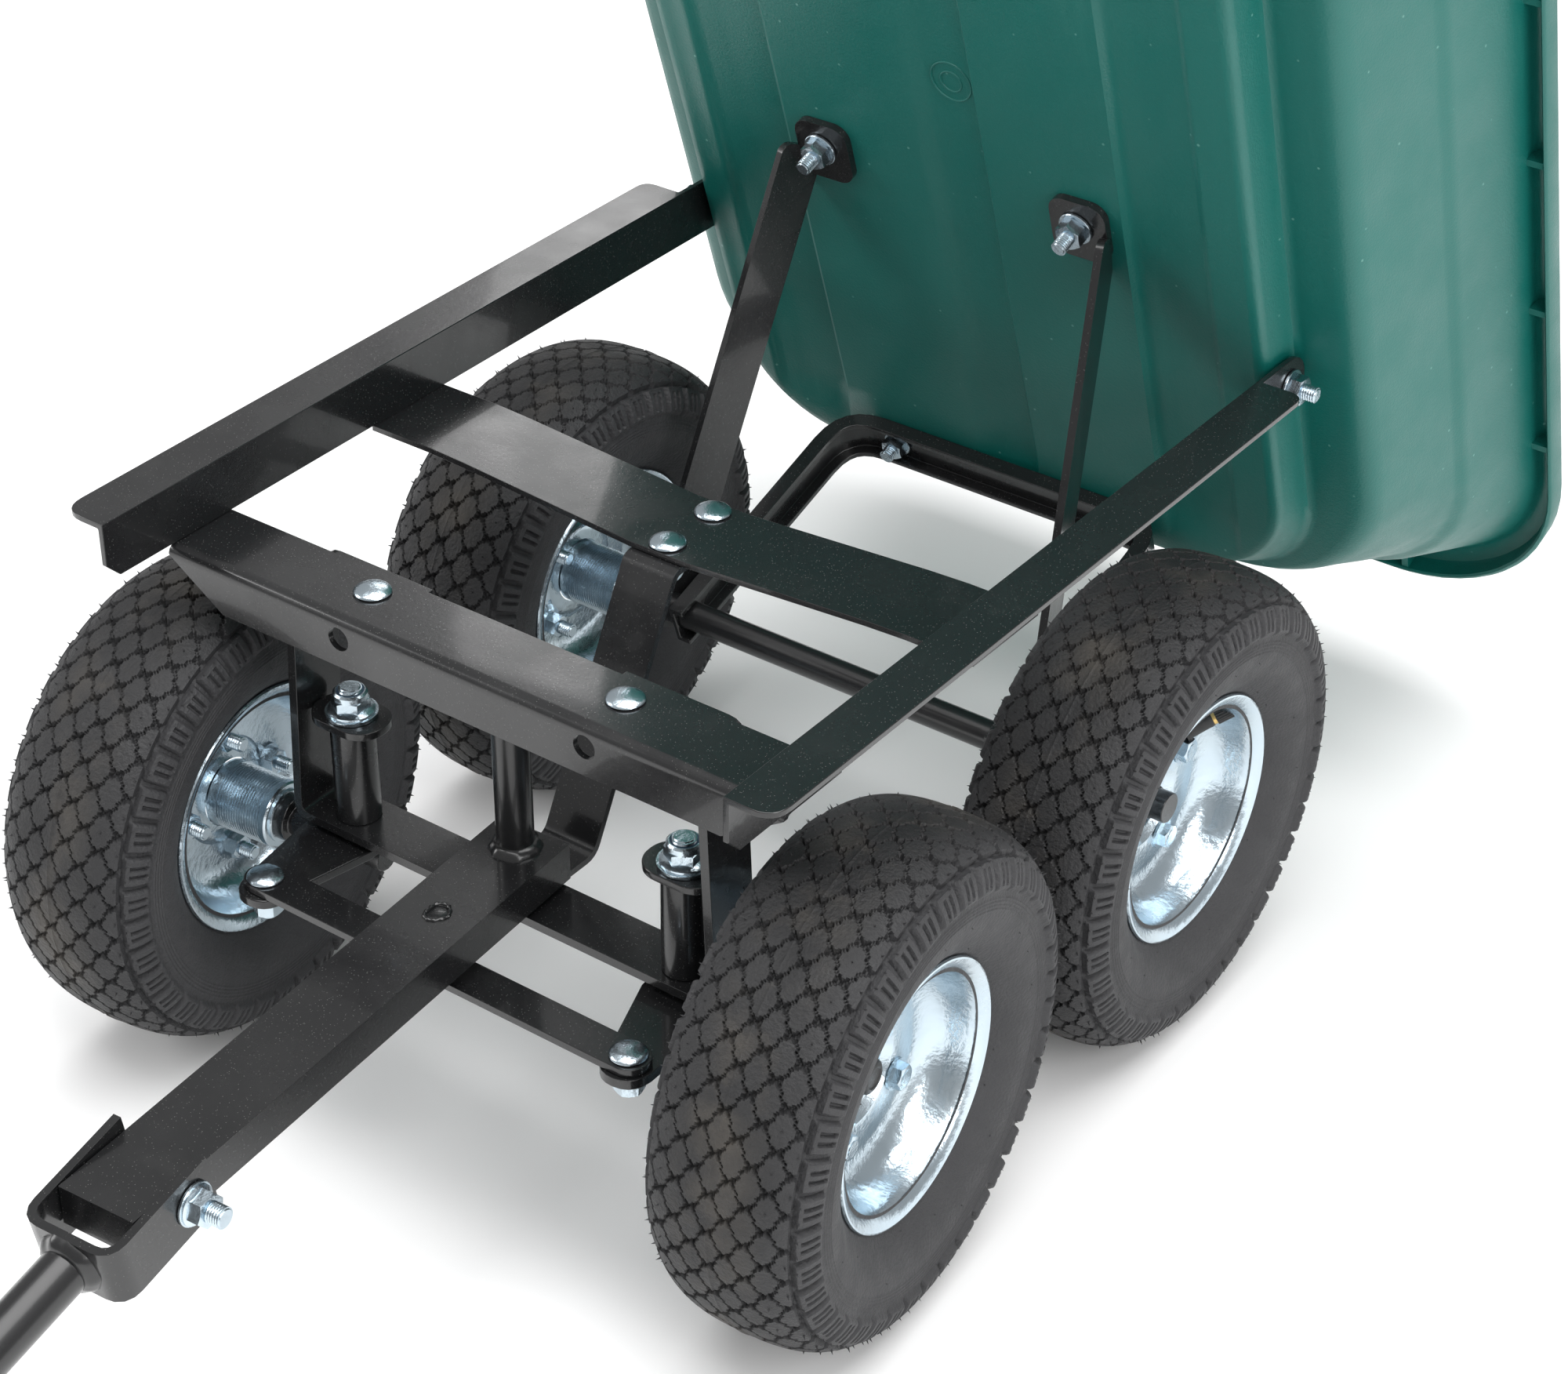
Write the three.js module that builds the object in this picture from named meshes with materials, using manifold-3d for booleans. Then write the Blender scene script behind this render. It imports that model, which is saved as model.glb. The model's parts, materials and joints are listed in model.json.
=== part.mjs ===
// Garden dump cart with a moulded tub, a steel frame and four pneumatic wheels.
// Millimetres, +Z up, ground at Z = 0, the pull handle toward -Y. "Right" pieces are on the +X side, to
// the right of someone who stands at the handle and looks at the cart. It is built in its tipped pose.
import * as THREE from 'three';
import { mergeVertices } from 'three/addons/utils/BufferGeometryUtils.js';
import Module from 'manifold-3d';

const wasm = await Module();
wasm.setup();

// ---- driving dimensions -------------------------------------------------------------------------
const DEG = Math.PI / 180;
const GAP = 0.3;                       // air left between pieces that touch
const ORIGIN_SHIFT = 371;              // puts the origin in the middle of the cart's length

const TYRE_R = 125;                    // ten-inch tyre
const TYRE_W = 84;
const RIM_R = 64.3;                    // rim flange
const RIM_W = 60;
const FRONT_TRACK = 189.8;             // wheel centre plane from the cart's middle
const REAR_TRACK = 182.5;
const AXLE_R = 8;
const HUB_R = 17.5;
const HUB_IN = 42;                     // hub end, inboard of the wheel's centre plane
const HUB_OUT = -5;                    // hub end, outboard side, sunk in the rim's centre

const RAIL_TOP = 316;
const RAIL_WEB = 30;
const RAIL_IN = 174.8;                 // web's inner face
const RAIL_OUT = 200.4;                // flange's outer edge
const RAIL_T = 3;
const RAIL_FRONT = -207;
const FLANGE_REAR = 223;
const PIVOT_Y = 252;
const PIVOT_Z = RAIL_TOP - RAIL_WEB / 2;

const PLATE_TOP = RAIL_TOP - RAIL_WEB - GAP;
const PLATE_T = 3;
const CROSS_FRONT = -167.5;
const CROSS_REAR = -126;
const CROSS_FLANGE = 26;
const CROSS_HALF = 176.5;
const CROSS_BOLT = { x: 73, y: -141 };
const CROSS_HOLE = { x: 70.9, drop: 11, r: 6 };   // round holes in the crossmember's front flange
const MID_FRONT = -26;
const MID_REAR = 27;
const MID_SAG = 8;                     // the mid plate bows down this far in the middle
const MID_BOLT_Y = [18, -17];
const STRAP_HALF = 15;                 // half width of the centre strap

const KING_Y = -134;                   // kingpins and tongue pivot stand in one row
const KING_X = 99;
const BEAM_TOP = 147;
const BEAM_T = 5;
const BEAM_W = 30;
const LEG_LOW_X = 128;                 // outer face of the leg at the beam
const LEG_TOP_X = 121;
const STRAP_FOOT_T = 3.5;              // centre strap
const EAR_Z = 201;
const EAR_T = 4;
const POST_R = 11.2;
const ARM_LEN = 60;                    // kingpin to tie-rod bolt, and tongue pivot to its pin
const ARM_OUT = 9.5;
const ARM_Z = 133;
const ARM_T = 5;
const TIE_T = 4;
const AXLE_TRAIL = 2;                  // stub axle sits this far behind its kingpin
const STEER = 4 * DEG;                 // the tongue and both front wheels rest turned this far

const TONGUE_W = 40;
const TONGUE_H = 20;
const TONGUE_LOW = BEAM_TOP + STRAP_FOOT_T + 2 * GAP;
const TONGUE_REAR = 15;                // behind the pivot
const YOKE_BOLT = 259;                 // ahead of the pivot
const TONGUE_FRONT = 289;
const YOKE_T = 4;
const YOKE_H = 30;
const YOKE_BACK = 13;                  // reach behind and ahead of its bolt
const YOKE_REACH = 44;
const YOKE_SIDE_GAP = 0.8;
const HANDLE_DROP = 10 * DEG;          // the handle slopes down to the ground
const HANDLE_R = 11;
const HANDLE_LEN = 700;

const TIP = 71.4 * DEG;                // the tub's turn from level
const FLOOR_N = -11.8;                 // tub floor below the hinge, tub level
const LEDGE = 15.6;                    // ledge that lies on the rails
const FLOOR_HALF = 172;
const FLOOR_REAR = 141;
const FLOOR_FRONT = -440;
const TUB_DEPTH = 172;
const LIP_HALF = 243;
const LIP_REAR = 292;
const LIP_FRONT = -525;
const WALL = 3.2;

const REAR_AXLE = { y: 127.9, z: -171.7 };   // from the hinge, tub level
const HOOP_HALF = 105;
const HOOP_W = 25;
const HOOP_FLANGE = 9;
const HOOP_T = 3;
const HOOP_BEND = 29;
const HOOP_BOLT_X = 68;
const HINGE_HEAD_X = 165;              // underside of the hinge bolt's head, inside the tub
const STRAP_T = 4;
const STRAP_W = 28;
const STRAP_BOLT = { x: 76, y: -82 };

// ---- materials ----------------------------------------------------------------------------------
const finish = (color, roughness, metalness) => () =>
  new THREE.MeshStandardMaterial({ color, roughness, metalness });
const BLACK = finish(0x141517, 0.32, 0.0);
const RUBBER = finish(0x2b2b2c, 0.8, 0.0);
const ZINC = finish(0xb9c4cb, 0.28, 0.95);
const GREEN = finish(0x00625a, 0.42, 0.0);
const PLASTIC = finish(0x101011, 0.5, 0.0);

// ---- scene helpers ------------------------------------------------------------------------------
const cart = new THREE.Group();

function group(parent, position = [0, 0, 0]) {
  const made = new THREE.Group();
  made.position.set(...position);
  parent.add(made);
  return made;
}

function add(parent, name, geometry, material, position = [0, 0, 0]) {
  const mesh = new THREE.Mesh(geometry, material());
  mesh.name = name;
  mesh.position.set(...position);
  parent.add(mesh);
  return mesh;
}

function toManifold(geometry) {
  const bare = geometry.clone();
  bare.deleteAttribute('normal');
  bare.deleteAttribute('uv');
  const merged = mergeVertices(bare, 1e-4);
  return new wasm.Manifold(new wasm.Mesh({
    numProp: 3,
    vertProperties: new Float32Array(merged.attributes.position.array),
    triVerts: new Uint32Array(merged.index.array),
  }));
}

function toGeometry(solid) {
  const mesh = solid.getMesh();
  const geometry = new THREE.BufferGeometry();
  const flat = new Float32Array(mesh.triVerts.length * 3);
  mesh.triVerts.forEach((vertex, i) => {
    for (let k = 0; k < 3; k += 1) flat[3 * i + k] = mesh.vertProperties[mesh.numProp * vertex + k];
  });
  geometry.setAttribute('position', new THREE.BufferAttribute(flat, 3));
  geometry.computeVertexNormals();
  return geometry;
}

const union = (first, ...rest) =>
  toGeometry(rest.reduce((sum, next) => sum.add(toManifold(next)), toManifold(first)));
const cut = (body, ...tools) =>
  toGeometry(tools.reduce((left, tool) => left.subtract(toManifold(tool)), toManifold(body)));

function box(x0, x1, y0, y1, z0, z1) {
  return new THREE.BoxGeometry(x1 - x0, y1 - y0, z1 - z0)
    .translate((x0 + x1) / 2, (y0 + y1) / 2, (z0 + z1) / 2);
}

function rod(radius, from, to, sides = 16, endRadius = radius) {
  const a = new THREE.Vector3(...from);
  const b = new THREE.Vector3(...to);
  const geometry = new THREE.CylinderGeometry(endRadius, radius, a.distanceTo(b), sides);
  const turn = new THREE.Quaternion()
    .setFromUnitVectors(new THREE.Vector3(0, 1, 0), b.clone().sub(a).normalize());
  return geometry.applyQuaternion(turn).translate(...a.add(b).multiplyScalar(0.5).toArray());
}

// Plate in the XY plane from z0 up, its outline a shape.
function plate(outline, z0, thickness) {
  return new THREE.ExtrudeGeometry(outline, { depth: thickness, bevelEnabled: false, curveSegments: 6 })
    .translate(0, 0, z0);
}

function roundedBar(x0, x1, y0, y1, r) {
  const s = new THREE.Shape();
  s.absarc(x1 - r, y1 - r, r, 0, Math.PI / 2);
  s.absarc(x0 + r, y1 - r, r, Math.PI / 2, Math.PI);
  s.absarc(x0 + r, y0 + r, r, Math.PI, Math.PI * 1.5);
  s.absarc(x1 - r, y0 + r, r, Math.PI * 1.5, Math.PI * 2);
  return s;
}

// Rounds the inner corners of an open polyline.
function filleted(points, radius, steps = 4) {
  const out = [points[0]];
  for (let i = 1; i < points.length - 1; i += 1) {
    const corner = new THREE.Vector2(...points[i]);
    const back = new THREE.Vector2(...points[i - 1]).sub(corner);
    const ahead = new THREE.Vector2(...points[i + 1]).sub(corner);
    const half = Math.acos(back.clone().normalize().dot(ahead.clone().normalize())) / 2;
    const reach = radius / Math.tan(half);
    const start = corner.clone().addScaledVector(back.normalize(), reach);
    const end = corner.clone().addScaledVector(ahead.normalize(), reach);
    const bend = new THREE.QuadraticBezierCurve(start, corner, end);
    bend.getPoints(steps).forEach((p) => out.push([p.x, p.y]));
  }
  out.push(points[points.length - 1]);
  return out;
}

// Outline of a flat strip bent along a line, with its thickness on the left of the line.
function stripShape(line, thickness) {
  const side = line.map((p, i) => {
    const prev = new THREE.Vector2(...line[Math.max(i - 1, 0)]);
    const next = new THREE.Vector2(...line[Math.min(i + 1, line.length - 1)]);
    const here = new THREE.Vector2(...p);
    const d0 = i > 0 ? here.clone().sub(prev).normalize() : next.clone().sub(here).normalize();
    const d1 = i < line.length - 1 ? next.clone().sub(here).normalize() : d0.clone();
    const mid = d0.clone().add(d1).normalize();
    const stretch = thickness / Math.max(mid.dot(d1), 0.3);
    return [here.x - mid.y * stretch, here.y + mid.x * stretch];
  });
  return new THREE.Shape([...line, ...side.reverse()].map(([x, y]) => new THREE.Vector2(x, y)));
}

// Strip drawn in (X, Z), extruded along Y from y0 to y1.
function stripXZ(line, thickness, y0, y1) {
  return new THREE.ExtrudeGeometry(stripShape(line, thickness), { depth: y1 - y0, bevelEnabled: false })
    .rotateX(Math.PI / 2).translate(0, y1, 0);
}

// Shape drawn in (Y, Z), extruded along X from x0 to x1.
function slabYZ(shape, x0, x1) {
  const turn = new THREE.Matrix4().makeBasis(
    new THREE.Vector3(0, 1, 0), new THREE.Vector3(0, 0, 1), new THREE.Vector3(1, 0, 0));
  return new THREE.ExtrudeGeometry(shape, { depth: x1 - x0, bevelEnabled: false, curveSegments: 8 })
    .applyMatrix4(turn).translate(x0, 0, 0);
}

// Solid of revolution about X: profile points are (x, radius).
function turned(profile, segments) {
  const points = [...profile, profile[0]].map(([x, r]) => new THREE.Vector2(r, x));
  return new THREE.LatheGeometry(points, segments).rotateZ(-Math.PI / 2);
}

// Truss-head bolt standing on z = 0 with its shank and nut below.
function trussBolt(shank, headR = 9, nut = 9) {
  const profile = [[0, 3.2], [3.5, 2.9], [7, 1.8], [headR, 0], [4, 0], [4, -shank + nut], [7, -shank + nut],
    [7, -shank + 2], [4, -shank + 2], [4, -shank], [0, -shank]];
  return new THREE.LatheGeometry(profile.map(([r, z]) => new THREE.Vector2(r, z)).reverse(), 12)
    .rotateX(Math.PI / 2);
}

// Hex nut with its threaded end standing proud of z = 0, and the shank below.
function nutEnd(shank, nutR = 7.5, nutH = 8, proud = 8, threadR = 4) {
  const washer = rod(nutR + 1.5, [0, 0, 0], [0, 0, 1.5]);
  const nut = new THREE.CylinderGeometry(nutR, nutR, nutH, 6).rotateX(Math.PI / 2)
    .translate(0, 0, 1.4 + nutH / 2);
  const thread = rod(threadR, [0, 0, -shank - 2], [0, 0, nutH + proud], 12);
  const head = rod(nutR, [0, 0, -shank - 4], [0, 0, -shank], 12);
  return union(thread, washer, nut, head);
}

// ---- bed frame ----------------------------------------------------------------------------------
function rail(side) {
  const webBottom = RAIL_TOP - RAIL_WEB;
  const webShape = new THREE.Shape();
  webShape.moveTo(RAIL_FRONT + 8, webBottom);
  webShape.lineTo(PIVOT_Y, webBottom);
  webShape.absarc(PIVOT_Y, PIVOT_Z, RAIL_WEB / 2, -Math.PI / 2, Math.PI / 2);
  webShape.lineTo(RAIL_FRONT, RAIL_TOP);
  webShape.lineTo(RAIL_FRONT, webBottom + 8);
  webShape.closePath();
  const hole = new THREE.Path();
  hole.absarc(PIVOT_Y, PIVOT_Z, 4.6, 0, Math.PI * 2, true);
  webShape.holes.push(hole);
  const x0 = side > 0 ? RAIL_IN : -RAIL_IN - RAIL_T;
  const web = slabYZ(webShape, x0, x0 + RAIL_T);
  const flange = new THREE.Shape();
  flange.moveTo(side * (RAIL_IN + 1), RAIL_FRONT);
  flange.lineTo(side * (RAIL_OUT - 12), RAIL_FRONT);
  flange.quadraticCurveTo(side * RAIL_OUT, RAIL_FRONT, side * RAIL_OUT, RAIL_FRONT + 12);
  flange.lineTo(side * RAIL_OUT, FLANGE_REAR - 8);
  flange.quadraticCurveTo(side * RAIL_OUT, FLANGE_REAR, side * (RAIL_OUT - 8), FLANGE_REAR);
  flange.lineTo(side * (RAIL_IN + 1), FLANGE_REAR);
  return union(web, plate(flange, RAIL_TOP - RAIL_T, RAIL_T));
}

function frontCrossmember() {
  const bend = 6;
  const line = filleted([[CROSS_REAR, PLATE_TOP], [CROSS_FRONT, PLATE_TOP],
    [CROSS_FRONT, PLATE_TOP - CROSS_FLANGE]], bend, 5);
  const body = slabYZ(stripShape(line, PLATE_T), -CROSS_HALF, CROSS_HALF);
  const ends = [1, -1].map((side) => {
    const wedge = new THREE.Shape();
    wedge.moveTo(side * (CROSS_HALF - 34), PLATE_TOP - CROSS_FLANGE - 1);
    wedge.lineTo(side * (CROSS_HALF + 1), PLATE_TOP - CROSS_FLANGE - 1);
    wedge.lineTo(side * (CROSS_HALF + 1), PLATE_TOP - 4);
    return new THREE.ExtrudeGeometry(wedge, { depth: 30, bevelEnabled: false })
      .rotateX(Math.PI / 2).translate(0, CROSS_FRONT + 15, 0);
  });
  const holes = [1, -1].map((side) => rod(CROSS_HOLE.r,
    [side * CROSS_HOLE.x, CROSS_FRONT - 10, PLATE_TOP - CROSS_HOLE.drop],
    [side * CROSS_HOLE.x, CROSS_FRONT + 20, PLATE_TOP - CROSS_HOLE.drop], 20));
  const bolts = [1, -1].map((side) => rod(4.4, [side * CROSS_BOLT.x, CROSS_BOLT.y, PLATE_TOP - 10],
    [side * CROSS_BOLT.x, CROSS_BOLT.y, PLATE_TOP + 5]));
  return cut(body, ...ends, ...holes, ...bolts);
}

function midPlate() {
  const low = PLATE_TOP - PLATE_T;
  const rightHalf = [[16, -MID_SAG], [50, -0.69 * MID_SAG], [118, -0.12 * MID_SAG], [140, 0], [CROSS_HALF, 0]];
  const bow = [...rightHalf.map(([x, z]) => [-x, z]).reverse(), ...rightHalf];
  const body = stripXZ(bow.map(([x, z]) => [x, low + z]), PLATE_T, MID_FRONT, MID_REAR);
  const holes = MID_BOLT_Y.map((y) => rod(4.4, [0, y, PLATE_TOP - 20], [0, y, PLATE_TOP + 5]));
  return cut(body, ...holes);
}

// Strap from under the mid plate, down and forward to a foot under the tongue's pivot.
function centreStrap() {
  const top = PLATE_TOP - MID_SAG - PLATE_T - GAP;
  const foot = BEAM_TOP + GAP + STRAP_FOOT_T;
  const line = filleted([[29, top], [-31, top], [-96, foot], [KING_Y - 16, foot]], 8, 4);
  const body = slabYZ(stripShape(line, STRAP_FOOT_T), -STRAP_HALF, STRAP_HALF);
  const holes = MID_BOLT_Y.map((y) => rod(4.4, [0, y, top - 10], [0, y, top + 5]));
  return cut(body, ...holes, rod(9.5, [0, KING_Y, foot - 8], [0, KING_Y, foot + 8]));
}

// One flat bar bent into a U: top tabs, legs and the beam that carries the kingpins.
function frontBracket() {
  const top = PLATE_TOP - PLATE_T - GAP;
  const low = BEAM_TOP - BEAM_T;
  const line = filleted([[-56, top], [-LEG_TOP_X, top], [-LEG_LOW_X, low],
    [LEG_LOW_X, low], [LEG_TOP_X, top], [56, top]], 9, 4);
  const body = stripXZ(line, BEAM_T, KING_Y - BEAM_W / 2, KING_Y + BEAM_W / 2);
  const holes = [];
  for (const side of [1, -1]) {
    holes.push(rod(6.6, [side * KING_X, KING_Y, low - 10], [side * KING_X, KING_Y, BEAM_TOP + 10]));
    holes.push(rod(4.4, [side * CROSS_BOLT.x, CROSS_BOLT.y, top - 20],
      [side * CROSS_BOLT.x, CROSS_BOLT.y, top + 10]));
  }
  return cut(body, ...holes, rod(9.5, [0, KING_Y, low - 8], [0, KING_Y, BEAM_TOP + 8]));
}

// Upright tube on the beam with the oval ear on top that reaches out to the leg.
function kingpinPost(side) {
  const tube = rod(POST_R, [side * KING_X, KING_Y, BEAM_TOP + GAP], [side * KING_X, KING_Y, EAR_Z + 1], 20);
  const legAtEar = LEG_LOW_X - (LEG_LOW_X - LEG_TOP_X) * (EAR_Z - BEAM_TOP) / (PLATE_TOP - BEAM_TOP) - BEAM_T;
  const x = [side * (KING_X - 20), side * (legAtEar - 0.9)].sort((a, b) => a - b);
  const ear = plate(roundedBar(x[0], x[1], KING_Y - 14, KING_Y + 14, 13), EAR_Z, EAR_T);
  return cut(union(tube, ear), rod(6.6, [side * KING_X, KING_Y, 100], [side * KING_X, KING_Y, 300]));
}

function buildFrame() {
  for (const [name, side] of [['right', 1], ['left', -1]]) {
    add(cart, `rail_${name}`, rail(side), BLACK);
    add(cart, `kingpin_post_${name}`, kingpinPost(side), BLACK);
    add(cart, `crossmember_bolt_${name}`, trussBolt(20), ZINC,
      [side * CROSS_BOLT.x, CROSS_BOLT.y, PLATE_TOP + GAP]);
  }
  add(cart, 'front_crossmember', frontCrossmember(), BLACK);
  add(cart, 'mid_plate', midPlate(), BLACK);
  add(cart, 'centre_strap', centreStrap(), BLACK);
  add(cart, 'front_axle_bracket', frontBracket(), BLACK);
  ['rear', 'front'].forEach((name, i) => {
    add(cart, `mid_plate_bolt_${name}`, trussBolt(19), ZINC, [0, MID_BOLT_Y[i], PLATE_TOP - MID_SAG + GAP]);
  });
}

// ---- wheels -------------------------------------------------------------------------------------
function tyreProfile() {
  const half = TYRE_W / 2;
  const bead = RIM_W / 2 - 3.2;
  const side = [[bead, 54], [bead, 64], [half - 2.5, 80], [half, 93], [half - 2, 105],
    [half - 9, 116.5], [half - 26, 123.8]];
  return [...side, [0, TYRE_R], ...side.map(([x, r]) => [-x, r]).reverse()];
}

function rimProfile() {
  const half = RIM_W / 2;
  const outer = [[half, RIM_R], [half - 2.6, RIM_R], [half - 2.9, 53.6], [half - 6, 52]];
  const dish = [[half, 57], [half - 4, 51], [13, 48.5], [4, 43], [2, 37], [2, HUB_R + 0.6]];
  const mirrored = (list) => list.map(([x, r]) => [-x, r]).reverse();
  return [...outer, ...mirrored(outer), ...mirrored(dish).reverse(), ...[...dish].reverse()];
}

function hubGeometry(s) {
  const tube = turned([[-HUB_IN * s, AXLE_R + 0.6], [-HUB_IN * s, HUB_R], [HUB_OUT * s, HUB_R],
    [HUB_OUT * s, AXLE_R + 0.6]], 16);
  const retainer = turned([[(HUB_OUT - 1) * s, AXLE_R + 1], [(HUB_OUT - 1) * s, HUB_R - 0.2],
    [(HUB_OUT + 2) * s, HUB_R - 0.2], [(HUB_OUT + 2) * s, AXLE_R + 1]], 16);
  return [tube, retainer];
}

// Every turned ring is wound for a profile that runs anticlockwise, so a mirrored one is flipped.
function outward(geometry) {
  const solid = geometry.index ? geometry.toNonIndexed() : geometry;
  const p = solid.attributes.position.array;
  let volume = 0;
  for (let i = 0; i < p.length; i += 9) {
    volume += p[i] * (p[i + 4] * p[i + 8] - p[i + 5] * p[i + 7])
      - p[i + 1] * (p[i + 3] * p[i + 8] - p[i + 5] * p[i + 6])
      + p[i + 2] * (p[i + 3] * p[i + 7] - p[i + 4] * p[i + 6]);
  }
  if (volume < 0) {
    for (let i = 0; i < p.length; i += 9) {
      for (let k = 0; k < 3; k += 1) [p[i + 3 + k], p[i + 6 + k]] = [p[i + 6 + k], p[i + 3 + k]];
    }
    solid.computeVertexNormals();
  }
  return solid;
}

// side is +1 where the wheel's outer face looks toward +X.
function buildWheel(parent, name, side, valveAngle) {
  add(parent, `tyre_${name}`, outward(turned(tyreProfile(), 32)), RUBBER);
  add(parent, `rim_${name}`, outward(turned(rimProfile(), 24)), ZINC);
  add(parent, `hub_${name}`, union(...hubGeometry(side).map(outward)), ZINC);
  const cap = outward(turned([[(HUB_OUT + 2.4) * side, 0], [(HUB_OUT + 2.4) * side, 9], [(HUB_OUT + 11) * side, 8.4],
    [(HUB_OUT + 13) * side, 6.5], [(HUB_OUT + 13) * side, 0]], 12));
  add(parent, `axle_cap_${name}`, cap, PLASTIC);
  const valve = union(rod(4, [7 * side, 0, -38], [14 * side, 0, -30], 12),
    rod(3.2, [13.5 * side, 0, -30.5], [20 * side, 0, -23], 12)).rotateX(valveAngle);
  add(parent, `valve_${name}`, valve, PLASTIC);
}

// ---- steering -----------------------------------------------------------------------------------
function knuckle(side) {
  const bolt = [side * ARM_OUT, -ARM_LEN];
  const arm = new THREE.Shape();
  arm.moveTo(-side * 16, 13);
  arm.lineTo(side * 22, 13);
  arm.lineTo(side * 26, -8);
  arm.lineTo(bolt[0] + side * 13, bolt[1] + 4);
  arm.quadraticCurveTo(bolt[0] + side * 13, bolt[1] - 13, bolt[0], bolt[1] - 13);
  arm.quadraticCurveTo(bolt[0] - side * 13, bolt[1] - 13, bolt[0] - side * 13, bolt[1] + 4);
  arm.lineTo(-side * 16, -12);
  arm.closePath();
  const armPlate = plate(arm, ARM_Z, ARM_T);
  const boss = rod(POST_R, [0, 0, ARM_Z + 1], [0, 0, BEAM_TOP - BEAM_T - GAP]);
  const reach = FRONT_TRACK - KING_X + HUB_OUT + 1.5;
  const axle = rod(AXLE_R, [-side * 14, AXLE_TRAIL, TYRE_R + 0.4], [side * reach, AXLE_TRAIL, TYRE_R + 0.4]);
  const collar = rod(12, [side * (FRONT_TRACK - KING_X - HUB_IN - 7), AXLE_TRAIL, TYRE_R + 0.4],
    [side * (FRONT_TRACK - KING_X - HUB_IN - 1), AXLE_TRAIL, TYRE_R + 0.4]);
  return cut(union(armPlate, boss, axle, collar), rod(4.3, [...bolt, 100], [...bolt, 200]),
    rod(6.2, [0, 0, ARM_Z + 0.5], [0, 0, 200]));
}

function kingpinBolt() {
  const shank = rod(5.8, [0, 0, ARM_Z + 0.9], [0, 0, EAR_Z + EAR_T + 16], 16);
  const washer = rod(12, [0, 0, EAR_Z + EAR_T + GAP], [0, 0, EAR_Z + EAR_T + 1.8], 24);
  const nut = new THREE.CylinderGeometry(9.5, 9.5, 8, 6).rotateX(Math.PI / 2)
    .translate(0, 0, EAR_Z + EAR_T + 1.6 + 4);
  const collar = rod(8.2, [0, 0, EAR_Z + EAR_T + 9], [0, 0, EAR_Z + EAR_T + 13.5], 20);
  return union(shank, washer, nut, collar);
}

function tieRod() {
  const half = KING_X + ARM_OUT;
  const bar = plate(roundedBar(-half - 11, half + 11, -10, 10, 9.9), 0, TIE_T);
  const holes = [-half, half].map((x) => rod(6.6, [x, 0, -5], [x, 0, 10]));
  return cut(bar, ...holes, rod(5.3, [0, 0, -5], [0, 0, 10]));
}

function tongueTube() {
  const outer = box(-TONGUE_W / 2, TONGUE_W / 2, -TONGUE_FRONT, TONGUE_REAR, TONGUE_LOW, TONGUE_LOW + TONGUE_H);
  const inner = box(-TONGUE_W / 2 + 2, TONGUE_W / 2 - 2, -TONGUE_FRONT + 2.5, TONGUE_REAR + 5,
    TONGUE_LOW + 2, TONGUE_LOW + TONGUE_H - 2);
  const boltHole = rod(5.4, [-40, -YOKE_BOLT, TONGUE_LOW + TONGUE_H / 2],
    [40, -YOKE_BOLT, TONGUE_LOW + TONGUE_H / 2]);
  const pivotHole = rod(9.3, [0, 0, TONGUE_LOW - 5], [0, 0, TONGUE_LOW + TONGUE_H + 5]);
  const pinHole = rod(5.3, [0, -ARM_LEN, TONGUE_LOW - 5], [0, -ARM_LEN, TONGUE_LOW + TONGUE_H + 5]);
  return cut(outer, inner, boltHole, pivotHole, pinHole);
}

// The tongue's upright pivot, from below the beam up to the crossmember.
function tonguePivot() {
  const top = PLATE_TOP - PLATE_T - 1;
  return union(rod(9, [0, 0, BEAM_TOP - BEAM_T - 4], [0, 0, top], 20),
    rod(13, [0, 0, TONGUE_LOW + TONGUE_H + GAP], [0, 0, TONGUE_LOW + TONGUE_H + 3], 20, 10));
}

function yoke() {
  const inner = TONGUE_W / 2 + YOKE_SIDE_GAP;
  const outer = inner + YOKE_T;
  const line = filleted([[inner, YOKE_BACK], [inner, -YOKE_REACH], [-inner, -YOKE_REACH], [-inner, YOKE_BACK]],
    7, 4);
  const wall = plate(stripShape(line, YOKE_T), -YOKE_H / 2, YOKE_H);
  const nose = box(-outer, outer, -YOKE_REACH - YOKE_T - 1, YOKE_BACK + 1, -YOKE_H / 2 - 1, YOKE_H / 2 + 1);
  const shaped = toGeometry(toManifold(wall).intersect(toManifold(nose)));
  return cut(shaped, rod(5.4, [-60, 0, 0], [60, 0, 0]));
}

// Round tube from the yoke to the grip, which is a closed D-shaped loop.
function handleTube() {
  const start = YOKE_REACH + YOKE_T + GAP;
  return rod(HANDLE_R, [0, -start, 0], [0, -YOKE_REACH - YOKE_T - HANDLE_LEN, 0], 20);
}

function gripLoop() {
  const top = -YOKE_REACH - YOKE_T - HANDLE_LEN - GAP;
  const loop = filleted([[0, top - 14], [-46, top - 46], [-54, top - 100], [54, top - 100], [46, top - 46],
    [0, top - 14]], 14, 4).map(([x, y]) => new THREE.Vector3(x, y, 0));
  const path = new THREE.CatmullRomCurve3(loop.slice(0, -1), true, 'catmullrom', 0.2);
  const section = new THREE.Shape();
  section.absarc(0, 0, HANDLE_R - 1, 0, Math.PI * 2);
  const ring = new THREE.ExtrudeGeometry(section, { steps: 36, extrudePath: path, curveSegments: 4 });
  return union(ring, rod(HANDLE_R + 1, [0, top, 0], [0, top - 22, 0], 16));
}

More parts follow.
